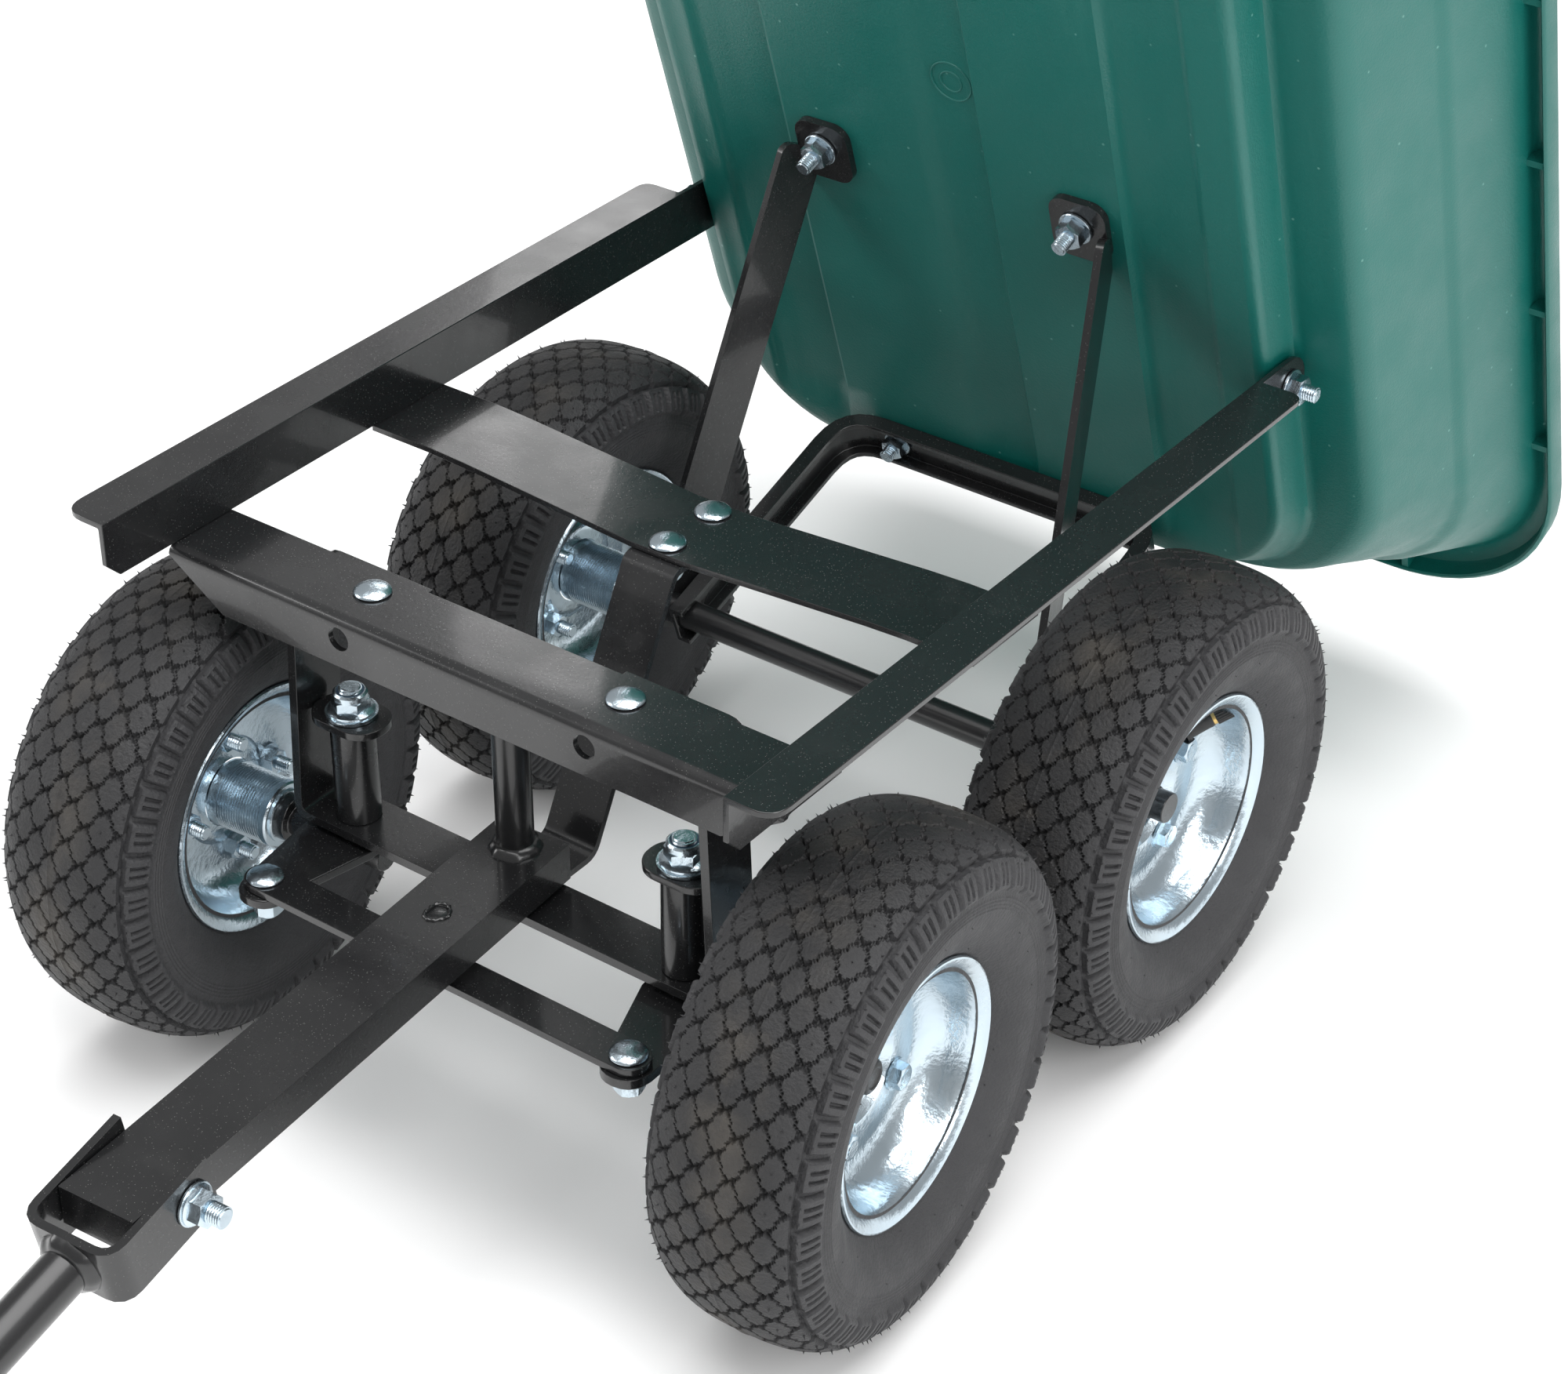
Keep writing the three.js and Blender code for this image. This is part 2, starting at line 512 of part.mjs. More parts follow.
function buildSteering() {
  for (const [name, side] of [['right', 1], ['left', -1]]) {
    const turn = group(cart, [side * KING_X, KING_Y, 0]);
    turn.rotation.z = STEER;
    add(turn, `knuckle_${name}`, knuckle(side), BLACK);
    add(turn, `kingpin_bolt_${name}`, kingpinBolt(), ZINC);
    add(turn, `tie_bolt_${name}`, trussBolt(22), ZINC,
      [side * ARM_OUT, -ARM_LEN, ARM_Z + ARM_T + TIE_T + 2 * GAP]);
    const wheel = group(turn, [side * (FRONT_TRACK - KING_X), AXLE_TRAIL, TYRE_R + 0.4]);
    buildWheel(wheel, `front_${name}`, side, side > 0 ? -68 * DEG : -60 * DEG);
  }
  const tongue = group(cart, [0, KING_Y, 0]);
  tongue.rotation.z = STEER;
  add(tongue, 'tongue_tube', tongueTube(), BLACK);
  add(tongue, 'tongue_pivot', tonguePivot(), BLACK);
  const pinLow = ARM_Z + ARM_T;
  add(tongue, 'tongue_pin', rod(5, [0, -ARM_LEN, pinLow - 3], [0, -ARM_LEN, TONGUE_LOW + TONGUE_H], 16), BLACK);
  add(cart, 'tie_rod', tieRod(), BLACK, [ARM_LEN * Math.sin(STEER), KING_Y - ARM_LEN * Math.cos(STEER),
    ARM_Z + ARM_T + GAP]);

  const pull = group(tongue, [0, -YOKE_BOLT, TONGUE_LOW + TONGUE_H / 2]);
  pull.rotation.x = HANDLE_DROP;
  add(pull, 'yoke', yoke(), BLACK);
  add(pull, 'handle_tube', handleTube(), BLACK);
  add(pull, 'grip_loop', gripLoop(), BLACK);
  const half = TONGUE_W / 2 + YOKE_SIDE_GAP + YOKE_T + GAP;
  const bolt = nutEnd(2 * half, 8.5, 8, 8, 5).rotateY(Math.PI / 2).translate(half, 0, 0);
  add(pull, 'yoke_bolt', bolt, ZINC);
}

// ---- tub and rear axle --------------------------------------------------------------------------
// Rounded rectangle from front to rear, the same point count at every level.
function ringPoints(half, rear, front, radius, z) {
  const out = [];
  const corners = [[1, rear, 0], [-1, rear, 1], [-1, front, 2], [1, front, 3]];
  const steps = 6;
  for (const [sx, y, quarter] of corners) {
    const cx = sx * (half - radius);
    const cy = y > 0 ? y - radius : y + radius;
    for (let i = 0; i <= steps; i += 1) {
      const a = (quarter + i / steps) * Math.PI / 2;
      out.push([cx + radius * Math.cos(a), cy + radius * Math.sin(a), z]);
    }
  }
  return out;
}

// Closed skin through a stack of rings, with a fan over the first and the last.
function skin(rings) {
  const count = rings[0].length;
  const flat = [];
  const centre = (ring) => {
    const sum = ring.reduce((s, p) => [s[0] + p[0], s[1] + p[1], s[2] + p[2]], [0, 0, 0]);
    return sum.map((v) => v / ring.length);
  };
  const first = centre(rings[0]);
  const last = centre(rings[rings.length - 1]);
  for (let i = 0; i < count; i += 1) {
    const j = (i + 1) % count;
    flat.push(...first, ...rings[0][j], ...rings[0][i]);
    flat.push(...last, ...rings[rings.length - 1][i], ...rings[rings.length - 1][j]);
    for (let r = 0; r < rings.length - 1; r += 1) {
      const [a, b, c, d] = [rings[r][i], rings[r][j], rings[r + 1][j], rings[r + 1][i]];
      flat.push(...a, ...b, ...c, ...a, ...c, ...d);
    }
  }
  const geometry = new THREE.BufferGeometry();
  geometry.setAttribute('position', new THREE.BufferAttribute(new Float32Array(flat), 3));
  geometry.computeVertexNormals();
  return outward(geometry);
}

function tubShell() {
  const floor = FLOOR_N;
  const top = floor + TUB_DEPTH;
  const level = (z) => (z - floor) / TUB_DEPTH;
  const rear = (z) => FLOOR_REAR + 5 + (LIP_REAR - 14 - FLOOR_REAR - 5) * level(z);
  const front = (z) => FLOOR_FRONT - 5 + (LIP_FRONT + 14 - FLOOR_FRONT + 5) * level(z);
  const wallHalf = (z) => 212 + (230 - 212) * (z - LEDGE) / (top - LEDGE);
  const ring = (half, z, inset, radius) => ringPoints(half, rear(z) - inset, front(z) + inset, radius, z);
  const outside = [
    ringPoints(FLOOR_HALF - 7, FLOOR_REAR - 6, FLOOR_FRONT + 6, 62, floor),
    ringPoints(FLOOR_HALF - 2.5, FLOOR_REAR - 1, FLOOR_FRONT + 1, 64, floor + 3),
    ringPoints(FLOOR_HALF, rear(floor + 9), front(floor + 9), 66, floor + 9),
    ring(FLOOR_HALF, LEDGE, 0, 66),
    ring(203, LEDGE, 0, 84),
    ring(209.5, LEDGE + 3, 0, 88),
    ring(212, LEDGE + 10, 0, 90),
    ring(wallHalf(82), 82, 0, 92),
    ring(wallHalf(88) + 3, 88, -3, 93),
    ring(wallHalf(top - 10) + 3, top - 10, -3, 95),
    ringPoints(LIP_HALF - 2.4, LIP_REAR - 2.4, LIP_FRONT + 2.4, 98, top - 10),
    ringPoints(LIP_HALF - 2.4, LIP_REAR - 2.4, LIP_FRONT + 2.4, 98, top - 16),
    ringPoints(LIP_HALF, LIP_REAR, LIP_FRONT, 100, top - 16),
    ringPoints(LIP_HALF, LIP_REAR, LIP_FRONT, 100, top - 4),
    ringPoints(LIP_HALF - 3.5, LIP_REAR - 3.5, LIP_FRONT + 3.5, 98, top),
  ];
  const inner = (half, z, radius) => ringPoints(half - WALL, rear(z) - WALL - 1, front(z) + WALL + 1, radius, z);
  const inside = [
    inner(wallHalf(top) + 5, top, 94),
    inner(wallHalf(top - 6) + 2, top - 6, 92),
    inner(wallHalf(88) + 2, 88, 90),
    inner(wallHalf(82), 80, 88),
    inner(212, LEDGE + 11, 86),
    inner(205, LEDGE + 3.6, 84),
    inner(FLOOR_HALF + 2, LEDGE + 3.6, 64),
    inner(FLOOR_HALF - 2, floor + 10, 62),
    ringPoints(FLOOR_HALF - 5.8, FLOOR_REAR - 5, FLOOR_FRONT + 5, 60, floor + WALL),
  ];
  const shell = skin([...outside, ...inside]);
  const holes = [];
  for (const side of [1, -1]) {
    holes.push(rod(4.5, [side * 150, 0, 0], [side * 185, 0, 0]));
    holes.push(rod(4.5, [side * STRAP_BOLT.x, STRAP_BOLT.y, -30], [side * STRAP_BOLT.x, STRAP_BOLT.y, 10]));
    holes.push(rod(4.5, [side * HOOP_BOLT_X, REAR_AXLE.y, -30], [side * HOOP_BOLT_X, REAR_AXLE.y, 10]));
  }
  return cut(shell, ...holes);
}

// Channel bent into a U, drawn flat in (x, s) with s running from the tub's floor down to the axle.
function hoop() {
  const reach = FLOOR_N - REAR_AXLE.z;
  const base = 2 * GAP;
  const run = filleted([[-HOOP_HALF, reach + 10], [-HOOP_HALF, base], [HOOP_HALF, base],
    [HOOP_HALF, reach + 10]], HOOP_BEND, 6);
  const web = plate(stripShape(run, HOOP_T), -HOOP_W / 2, HOOP_W);
  const flange = stripShape(run, HOOP_FLANGE);
  const flanges = [-HOOP_W / 2, HOOP_W / 2 - HOOP_T].map((from) => plate(flange, from, HOOP_T));
  const holes = [rod(AXLE_R + GAP, [-150, reach, 0], [150, reach, 0])];
  for (const side of [1, -1]) holes.push(rod(4.4, [side * HOOP_BOLT_X, -10, 0], [side * HOOP_BOLT_X, 30, 0]));
  return cut(union(web, ...flanges), ...holes).rotateX(-Math.PI / 2).translate(0, REAR_AXLE.y, FLOOR_N);
}

// Flat strap: a tab under the tub and a twisted blade down to the axle outside the hoop.
function strap(side) {
  const tabTop = FLOOR_N - GAP;
  const tab = plate(roundedBar(STRAP_BOLT.x * side - 15, STRAP_BOLT.x * side + 17, STRAP_BOLT.y - 16,
    STRAP_BOLT.y + 20, 9), tabTop - STRAP_T, STRAP_T);
  const from = new THREE.Vector3(side * (STRAP_BOLT.x + 15), STRAP_BOLT.y + 6, tabTop - STRAP_T / 2);
  const to = new THREE.Vector3(side * (HOOP_HALF + 11), REAR_AXLE.y, REAR_AXLE.z);
  const along = to.clone().sub(from);
  const length = along.length();
  const dir = along.clone().normalize();
  const turn = 15 * DEG * side;
  const face = new THREE.Vector3(Math.cos(turn), -Math.sin(turn) * dir.z, Math.sin(turn) * dir.y);
  face.addScaledVector(dir, -face.dot(dir)).normalize();
  const wide = new THREE.Vector3().crossVectors(dir, face).normalize();
  const blade = plate(roundedBar(-STRAP_W / 2, STRAP_W / 2, -2, length + 12, 6), -STRAP_T / 2, STRAP_T);
  blade.applyMatrix4(new THREE.Matrix4().makeBasis(wide, dir, wide.clone().cross(dir)));
  blade.translate(from.x, from.y, from.z);
  const below = box(-300, 300, -300, 300, -400, tabTop);
  const joined = toManifold(union(tab, blade)).intersect(toManifold(below));
  return cut(toGeometry(joined), rod(AXLE_R + GAP, [side * 60, REAR_AXLE.y, REAR_AXLE.z],
    [side * 160, REAR_AXLE.y, REAR_AXLE.z]), rod(4.4, [side * STRAP_BOLT.x, STRAP_BOLT.y, -40],
    [side * STRAP_BOLT.x, STRAP_BOLT.y, 0]));
}

function rearAxle() {
  const end = REAR_TRACK + HUB_OUT + 1.5;
  const bar = rod(AXLE_R, [-end, 0, 0], [end, 0, 0], 20);
  const collars = [1, -1].map((side) => rod(12, [side * (REAR_TRACK - HUB_IN - 7), 0, 0],
    [side * (REAR_TRACK - HUB_IN - 1), 0, 0], 20));
  return union(bar, ...collars);
}

function buildTub() {
  const tub = group(cart, [0, PIVOT_Y, PIVOT_Z]);
  tub.rotation.x = -TIP;
  add(tub, 'tub', tubShell(), GREEN);
  add(tub, 'hoop', hoop(), BLACK);
  add(tub, 'rear_axle', rearAxle(), BLACK, [0, REAR_AXLE.y, REAR_AXLE.z]);
  for (const [name, side] of [['right', 1], ['left', -1]]) {
    add(tub, `strap_${name}`, strap(side), BLACK);
    const down = nutEnd(STRAP_T + WALL + 2, 7.5, 7, 7).rotateX(Math.PI);
    add(tub, `strap_bolt_${name}`, down, ZINC,
      [side * STRAP_BOLT.x, STRAP_BOLT.y, FLOOR_N - 2 * GAP - STRAP_T]);
    const base = nutEnd(HOOP_T + WALL + 5 * GAP, 7, 6, 6).rotateX(Math.PI);
    add(tub, `hoop_bolt_${name}`, base, ZINC, [side * HOOP_BOLT_X, REAR_AXLE.y, FLOOR_N - HOOP_T - 3 * GAP]);
    const hinge = nutEnd(RAIL_IN + RAIL_T + GAP - HINGE_HEAD_X, 7.5, 7, 7).rotateY(side * Math.PI / 2);
    add(tub, `hinge_bolt_${name}`, hinge, ZINC, [side * (RAIL_IN + RAIL_T + GAP), 0, 0]);
    const wheel = group(tub, [side * REAR_TRACK, REAR_AXLE.y, REAR_AXLE.z]);
    buildWheel(wheel, `rear_${name}`, side, side > 0 ? -162 * DEG : -60 * DEG);
  }
}

buildFrame();
buildSteering();
buildTub();
cart.position.y = ORIGIN_SHIFT;

export default new THREE.Group().add(cart);
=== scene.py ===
# Garden dump cart: the visual model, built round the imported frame. Lengths in the helpers are millimetres.
import bpy
import bmesh
import json
import math
import random
import numpy as np
from mathutils import Matrix, Vector


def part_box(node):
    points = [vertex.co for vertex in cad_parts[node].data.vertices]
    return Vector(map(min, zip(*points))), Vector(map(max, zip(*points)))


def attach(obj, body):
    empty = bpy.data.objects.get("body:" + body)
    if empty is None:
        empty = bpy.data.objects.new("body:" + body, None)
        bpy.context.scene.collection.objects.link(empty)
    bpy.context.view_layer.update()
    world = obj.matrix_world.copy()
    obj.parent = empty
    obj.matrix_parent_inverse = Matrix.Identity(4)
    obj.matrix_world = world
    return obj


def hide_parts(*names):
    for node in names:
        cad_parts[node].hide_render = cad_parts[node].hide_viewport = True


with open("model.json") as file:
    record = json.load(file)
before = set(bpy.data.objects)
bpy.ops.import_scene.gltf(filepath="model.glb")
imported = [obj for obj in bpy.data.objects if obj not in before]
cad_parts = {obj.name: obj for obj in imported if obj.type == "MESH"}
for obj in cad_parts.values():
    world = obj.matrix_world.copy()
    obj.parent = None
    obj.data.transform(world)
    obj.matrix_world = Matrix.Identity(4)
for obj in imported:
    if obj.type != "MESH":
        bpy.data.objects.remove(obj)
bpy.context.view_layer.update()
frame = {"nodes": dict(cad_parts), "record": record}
JOINTS = {j["name"]: j for j in frame["record"]["behaviour"]["joints"]}
random.seed(7)
MM = Matrix.Scale(0.001, 4)

# ---- driving dimensions, in millimetres ------------------------------------------------------------
TIP = math.radians(71.4)    # from level to the tipped rest pose
STEER = math.radians(4)     # the front wheels' turn at rest
DROP = math.radians(10)     # the handle below level at rest
BOLT_R = 33.0               # circle of the bolts that join the rim's halves
BLOCKS = 40                 # tread blocks round the tyre
FLOOR_N = -11.8             # tub underside, from the hinge axis
LEDGE = 15.6                # height of the step in the tub wall
DEPTH = 172.0               # tub floor to lip
FLOOR_HALF = 172.0          # half the tub floor's width
FLOOR_REAR = 141.0          # tub floor's rear end, from the hinge axis
FLOOR_FRONT = -440.0        # and its front end
LIP_HALF = 243.0            # half the lip's width
LIP_REAR = 292.0            # lip's rear end, from the hinge axis
LIP_FRONT = -525.0          # and its front end
CAMERA_AT = (0.8240, -0.6977, 1.0892)    # metres
WALL = 3.2                  # tub wall thickness


def joint_at(name):
    return Vector(JOINTS[name]["pos_m"])


TUB = Matrix.Translation(joint_at("tub_tip")) @ Matrix.Rotation(-TIP, 4, "X") @ MM
PULL = (Matrix.Translation(joint_at("handle_lift")) @ Matrix.Rotation(STEER, 4, "Z")
        @ Matrix.Rotation(DROP, 4, "X") @ MM)
TONGUE = Matrix.Translation(joint_at("tongue_steer").to_2d().to_3d()) @ Matrix.Rotation(STEER, 4, "Z") @ MM


# ---- materials -------------------------------------------------------------------------------------
def shader(name, rough, metal=0.0, coat=0.0, coat_rough=0.1, spec=0.5):
    m = bpy.data.materials.new(name)
    m.use_nodes = True
    b = m.node_tree.nodes["Principled BSDF"]
    b.inputs["Metallic"].default_value = metal
    b.inputs["Roughness"].default_value = rough
    b.inputs["Coat Weight"].default_value = coat
    b.inputs["Coat Roughness"].default_value = coat_rough
    b.inputs["Specular IOR Level"].default_value = spec
    return m, m.node_tree, b


def node(t, kind, **inputs):
    n = t.nodes.new(kind)
    for k, v in inputs.items():
        n.inputs[k.replace("_", " ")].default_value = v
    return n


def coords(t):
    return t.nodes.new("ShaderNodeTexCoord").outputs["Object"]


def noise(t, scale, detail=4.0, rough=0.55, stretch=None):
    n = node(t, "ShaderNodeTexNoise", Scale=scale, Detail=detail, Roughness=rough)
    src = coords(t)
    if stretch:
        m = node(t, "ShaderNodeMapping", Scale=stretch)
        t.links.new(src, m.inputs["Vector"])
        src = m.outputs["Vector"]
    t.links.new(src, n.inputs["Vector"])
    return n.outputs["Fac"]


def ramp(t, fac, stops):
    r = t.nodes.new("ShaderNodeValToRGB")
    els = r.color_ramp.elements
    while len(els) < len(stops):
        els.new(0.5)
    for e, (pos, c) in zip(els, stops):
        e.position = pos
        e.color = (*c, 1) if len(c) == 3 else c
    t.links.new(fac, r.inputs["Fac"])
    return r.outputs["Color"]


def mix(t, fac, a, b):
    m = t.nodes.new("ShaderNodeMix")
    m.data_type = "RGBA"
    t.links.new(fac, m.inputs[0])
    for sock, v in ((m.inputs[6], a), (m.inputs[7], b)):
        if isinstance(v, tuple):
            sock.default_value = (*v, 1)
        else:
            t.links.new(v, sock)
    return m.outputs[2]


def bump(t, b, height, strength, distance=0.001):
    n = node(t, "ShaderNodeBump", Strength=strength, Distance=distance)
    t.links.new(height, n.inputs["Height"])
    t.links.new(n.outputs["Normal"], b.inputs["Normal"])


def grey(v):
    return (v, v, v)


def specks(t, scale, size, lo=0.0):
    v = node(t, "ShaderNodeTexVoronoi", Scale=scale)
    t.links.new(coords(t), v.inputs["Vector"])
    return ramp(t, v.outputs["Distance"], [(size * 0.5, grey(1)), (size, grey(lo))])


def paint():
    m, t, b = shader("black_paint", 0.22, coat=0.35, coat_rough=0.06)
    base = mix(t, noise(t, 9), (0.0072, 0.0074, 0.0080), (0.0135, 0.0138, 0.0145))
    dust = mix(t, specks(t, 620, 0.16), base, (0.10, 0.10, 0.095))
    smear = ramp(t, noise(t, 34, 7), [(0.60, grey(0)), (0.82, grey(0.22))])
    t.links.new(mix(t, smear, dust, (0.05, 0.05, 0.048)), b.inputs["Base Color"])
    t.links.new(ramp(t, noise(t, 26, 6), [(0.3, grey(0.17)), (0.75, grey(0.34))]), b.inputs["Roughness"])
    bump(t, b, noise(t, 420, 3), 0.10, 0.0004)
    return m


def rubber():
    m, t, b = shader("tyre_rubber", 0.62, spec=0.42)
    sep = t.nodes.new("ShaderNodeSeparateXYZ")
    t.links.new(coords(t), sep.inputs[0])
    sq = []
    for axis in ("Y", "Z"):
        p = node(t, "ShaderNodeMath")
        p.operation = "MULTIPLY"
        t.links.new(sep.outputs[axis], p.inputs[0])
        t.links.new(sep.outputs[axis], p.inputs[1])
        sq.append(p.outputs[0])
    add = node(t, "ShaderNodeMath")
    add.operation = "ADD"
    t.links.new(sq[0], add.inputs[0])
    t.links.new(sq[1], add.inputs[1])
    root = node(t, "ShaderNodeMath")
    root.operation = "SQRT"
    t.links.new(add.outputs[0], root.inputs[0])
    reach = node(t, "ShaderNodeMapRange")
    reach.inputs["From Min"].default_value = 110.0
    reach.inputs["From Max"].default_value = 124.0
    t.links.new(root.outputs[0], reach.inputs["Value"])
    crown = ramp(t, reach.outputs[0], [(0.0, grey(0)), (1.0, grey(1))])
    wall = mix(t, noise(t, 0.02, 5), (0.030, 0.030, 0.032), (0.043, 0.043, 0.046))
    dark = mix(t, noise(t, 0.05, 6), (0.011, 0.011, 0.012), (0.024, 0.024, 0.025))
    dusty = mix(t, ramp(t, noise(t, 0.022, 7, 0.65), [(0.45, grey(0)), (0.72, grey(0.75))]), dark,
                (0.085, 0.074, 0.060))
    middle = node(t, "ShaderNodeMath")
    middle.operation = "ABSOLUTE"
    t.links.new(sep.outputs["X"], middle.inputs[0])
    band = node(t, "ShaderNodeMapRange")
    band.inputs["From Min"].default_value = 26.0
    band.inputs["From Max"].default_value = 4.0
    t.links.new(middle.outputs[0], band.inputs["Value"])
    tread = mix(t, band.outputs[0], dark, dusty)
    t.links.new(mix(t, crown, wall, tread), b.inputs["Base Color"])
    t.links.new(ramp(t, noise(t, 0.08, 5), [(0.3, grey(0.5)), (0.8, grey(0.72))]), b.inputs["Roughness"])
    bump(t, b, noise(t, 0.55, 5), 0.25, 0.35)
    return m


def zinc(name="zinc", tone=((0.50, 0.60, 0.67), (0.62, 0.71, 0.77)), rough=(0.20, 0.30)):
    m, t, b = shader(name, 0.25, metal=1.0)
    cloud = mix(t, noise(t, 0.02, 3), tone[0], tone[1])
    tint = mix(t, ramp(t, noise(t, 0.016, 2), [(0.55, grey(0)), (0.85, grey(0.16))]), cloud,
               (0.68, 0.66, 0.56))
    t.links.new(tint, b.inputs["Base Color"])
    t.links.new(ramp(t, noise(t, 0.05, 6, 0.6), [(0.3, grey(rough[0])), (0.75, grey(rough[1]))]),
                b.inputs["Roughness"])
    bump(t, b, noise(t, 0.25, 3), 0.05, 0.1)
    return m


def green():
    m, t, b = shader("tub_green", 0.4, spec=0.5)
    base = mix(t, noise(t, 0.006, 4), (0.0015, 0.108, 0.090), (0.0045, 0.142, 0.119))
    # lighter green streaks stretched along the tub's length, upright when tipped: painted highlight streaks,
    # not scuffs
    highlight_streaks = ramp(t, noise(t, 0.05, 8, 0.7, (1, 0.12, 1)), [(0.62, grey(0)), (0.80, grey(0.22))])
    spot = mix(t, specks(t, 0.075, 0.07), mix(t, highlight_streaks, base, (0.05, 0.23, 0.19)), (0.10, 0.28, 0.24))
    t.links.new(spot, b.inputs["Base Color"])
    t.links.new(ramp(t, noise(t, 0.03, 6), [(0.3, grey(0.33)), (0.75, grey(0.50))]), b.inputs["Roughness"])
    bump(t, b, noise(t, 0.8, 4), 0.10, 0.3)
    return m


def plastic(name="black_plastic", tone=(0.010, 0.018), rough=(0.34, 0.5)):
    m, t, b = shader(name, 0.4)
    t.links.new(mix(t, noise(t, 0.2), grey(tone[0]), grey(tone[1])), b.inputs["Base Color"])
    t.links.new(ramp(t, noise(t, 0.5), [(0.3, grey(rough[0])), (0.7, grey(rough[1]))]), b.inputs["Roughness"])
    bump(t, b, noise(t, 1.4, 3), 0.15, 0.2)
    return m


PAINT, RUBBER, ZINC, GREEN, PLASTIC = paint(), rubber(), zinc(), green(), plastic()
BRASS = zinc("brass", ((0.55, 0.38, 0.14), (0.72, 0.52, 0.22)), (0.25, 0.45))
NYLON = plastic("blue_nylon", (0.02, 0.05), (0.3, 0.5))
NYLON.node_tree.nodes["Mix"].inputs[6].default_value = (0.02, 0.06, 0.11, 1)
NYLON.node_tree.nodes["Mix"].inputs[7].default_value = (0.05, 0.12, 0.2, 1)


# ---- mesh helpers: each part is (points, faces) ----------------------------------------------------
def grid(points, wrap_u=False, wrap_v=False):
    """points has shape (n, m, 3)"""
    n, m = points.shape[:2]
    idx = np.arange(n * m).reshape(n, m)
    i = idx if wrap_u else idx[:-1]
    nxt = np.roll(idx, -1, 0) if wrap_u else idx[1:]
    if wrap_v:
        a, b, c, d = i, nxt, np.roll(nxt, -1, 1), np.roll(i, -1, 1)
    else:
        a, b, c, d = i[:, :-1], nxt[:, :-1], nxt[:, 1:], i[:, 1:]
    faces = np.stack([a, b, c, d], -1).reshape(-1, 4).tolist()
    return points.reshape(-1, 3), faces


def lathe(profile, n=64, axis="x", closed=True, wobble=None):
    """profile is (along, radius) pairs; a closed profile comes back to its first pair."""
    p = np.array(profile, float)
    t = np.linspace(0, 2 * np.pi, n, endpoint=False)
    along = np.repeat(p[None, :, 0], n, 0)
    r = np.repeat(p[None, :, 1], n, 0)
    if wobble is not None:
        r = r + wobble(t)[:, None]
    u, v = r * np.cos(t)[:, None], r * np.sin(t)[:, None]
    pts = np.stack([along, u, v] if axis == "x" else [u, v, along], -1)
    return grid(pts, wrap_u=True, wrap_v=closed)


def hexagon(radius, height, hole, n=72, chamfer=0.5):
    t = np.linspace(0, 2 * np.pi, n, endpoint=False)
    flat = radius * math.cos(math.pi / 6)
    r = flat / np.cos((t + math.pi / 6) % (math.pi / 3) - math.pi / 6)
    low = (r - flat * 0.98) * chamfer
    rings = [(np.full(n, hole), np.zeros(n)), (np.full(n, flat * 0.95), np.zeros(n)), (r, low),
             (r, height - low), (np.full(n, flat * 0.95), np.full(n, height)),
             (np.full(n, hole), np.full(n, height))]
    pts = np.stack([np.stack([a * np.cos(t), a * np.sin(t), z], -1) for a, z in rings], 1)
    return grid(pts, wrap_u=True, wrap_v=True)


def thread(radius, z0, z1, pitch=1.25, n=32):
    turns = int((z1 - z0) / pitch)
    profile = [(z0, 0)]
    for i in range(turns):
        z = z0 + (z1 - z0) * i / turns
        profile += [(z, radius - 0.55), (z + pitch * 0.35, radius), (z + pitch * 0.6, radius)]
    profile += [(z1 - 0.5, radius - 0.6), (z1, radius - 1.0), (z1, 0)]
    return lathe(profile, n, "z", closed=False)


def cuboid(x0, x1, y0, y1, z0, z1):
    pts = np.array([(x, y, z) for x in (x0, x1) for y in (y0, y1) for z in (z0, z1)], float)
    return pts, [(0, 1, 3, 2), (4, 6, 7, 5), (0, 4, 5, 1), (2, 3, 7, 6), (0, 2, 6, 4), (1, 5, 7, 3)]


def sweep(path, radius, sides=24, closed=False):
    p = np.array(path, float)
    tan = np.roll(p, -1, 0) - np.roll(p, 1, 0)
    if not closed:
        tan[0], tan[-1] = p[1] - p[0], p[-1] - p[-2]
    tan /= np.linalg.norm(tan, axis=1)[:, None]
    up = np.array([0.0, 0.0, 1.0])
    side = np.cross(tan, up)
    side /= np.linalg.norm(side, axis=1)[:, None]
    over = np.cross(side, tan)
    a = np.linspace(0, 2 * np.pi, sides, endpoint=False)
    rad = np.broadcast_to(np.array(radius, float), (len(p),))
    pts = p[:, None] + rad[:, None, None] * (side[:, None] * np.cos(a)[None, :, None]
                                             + over[:, None] * np.sin(a)[None, :, None])
    return grid(pts, wrap_u=closed, wrap_v=True)


def moved(part, matrix):
    pts, faces = part
    m = np.array(matrix, float)
    return pts @ m[:3, :3].T + m[:3, 3], faces


def at(x=0, y=0, z=0, rx=0, ry=0, rz=0):
    return (Matrix.Translation((x, y, z)) @ Matrix.Rotation(rz, 4, "Z") @ Matrix.Rotation(ry, 4, "Y")
            @ Matrix.Rotation(rx, 4, "X"))


def build(name, parts, smooth=40):
    """parts is a list of (part, material index)"""
    pts, faces, mats, base = [], [], [], 0
    for (p, f), mat in parts:
        pts.append(np.asarray(p))
        faces += [tuple(base + i for i in face) for face in f]
        mats += [mat] * len(f)
        base += len(p)
    me = bpy.data.meshes.new(name)
    me.from_pydata(np.concatenate(pts).tolist(), [], faces)
    me.polygons.foreach_set("material_index", mats)
    bm = bmesh.new()
    bm.from_mesh(me)
    bmesh.ops.remove_doubles(bm, verts=bm.verts, dist=1e-4)
    bmesh.ops.recalc_face_normals(bm, faces=bm.faces)
    bm.to_mesh(me)
    bm.free()
    me.shade_smooth()
    me.set_sharp_from_angle(angle=math.radians(smooth))
    return me


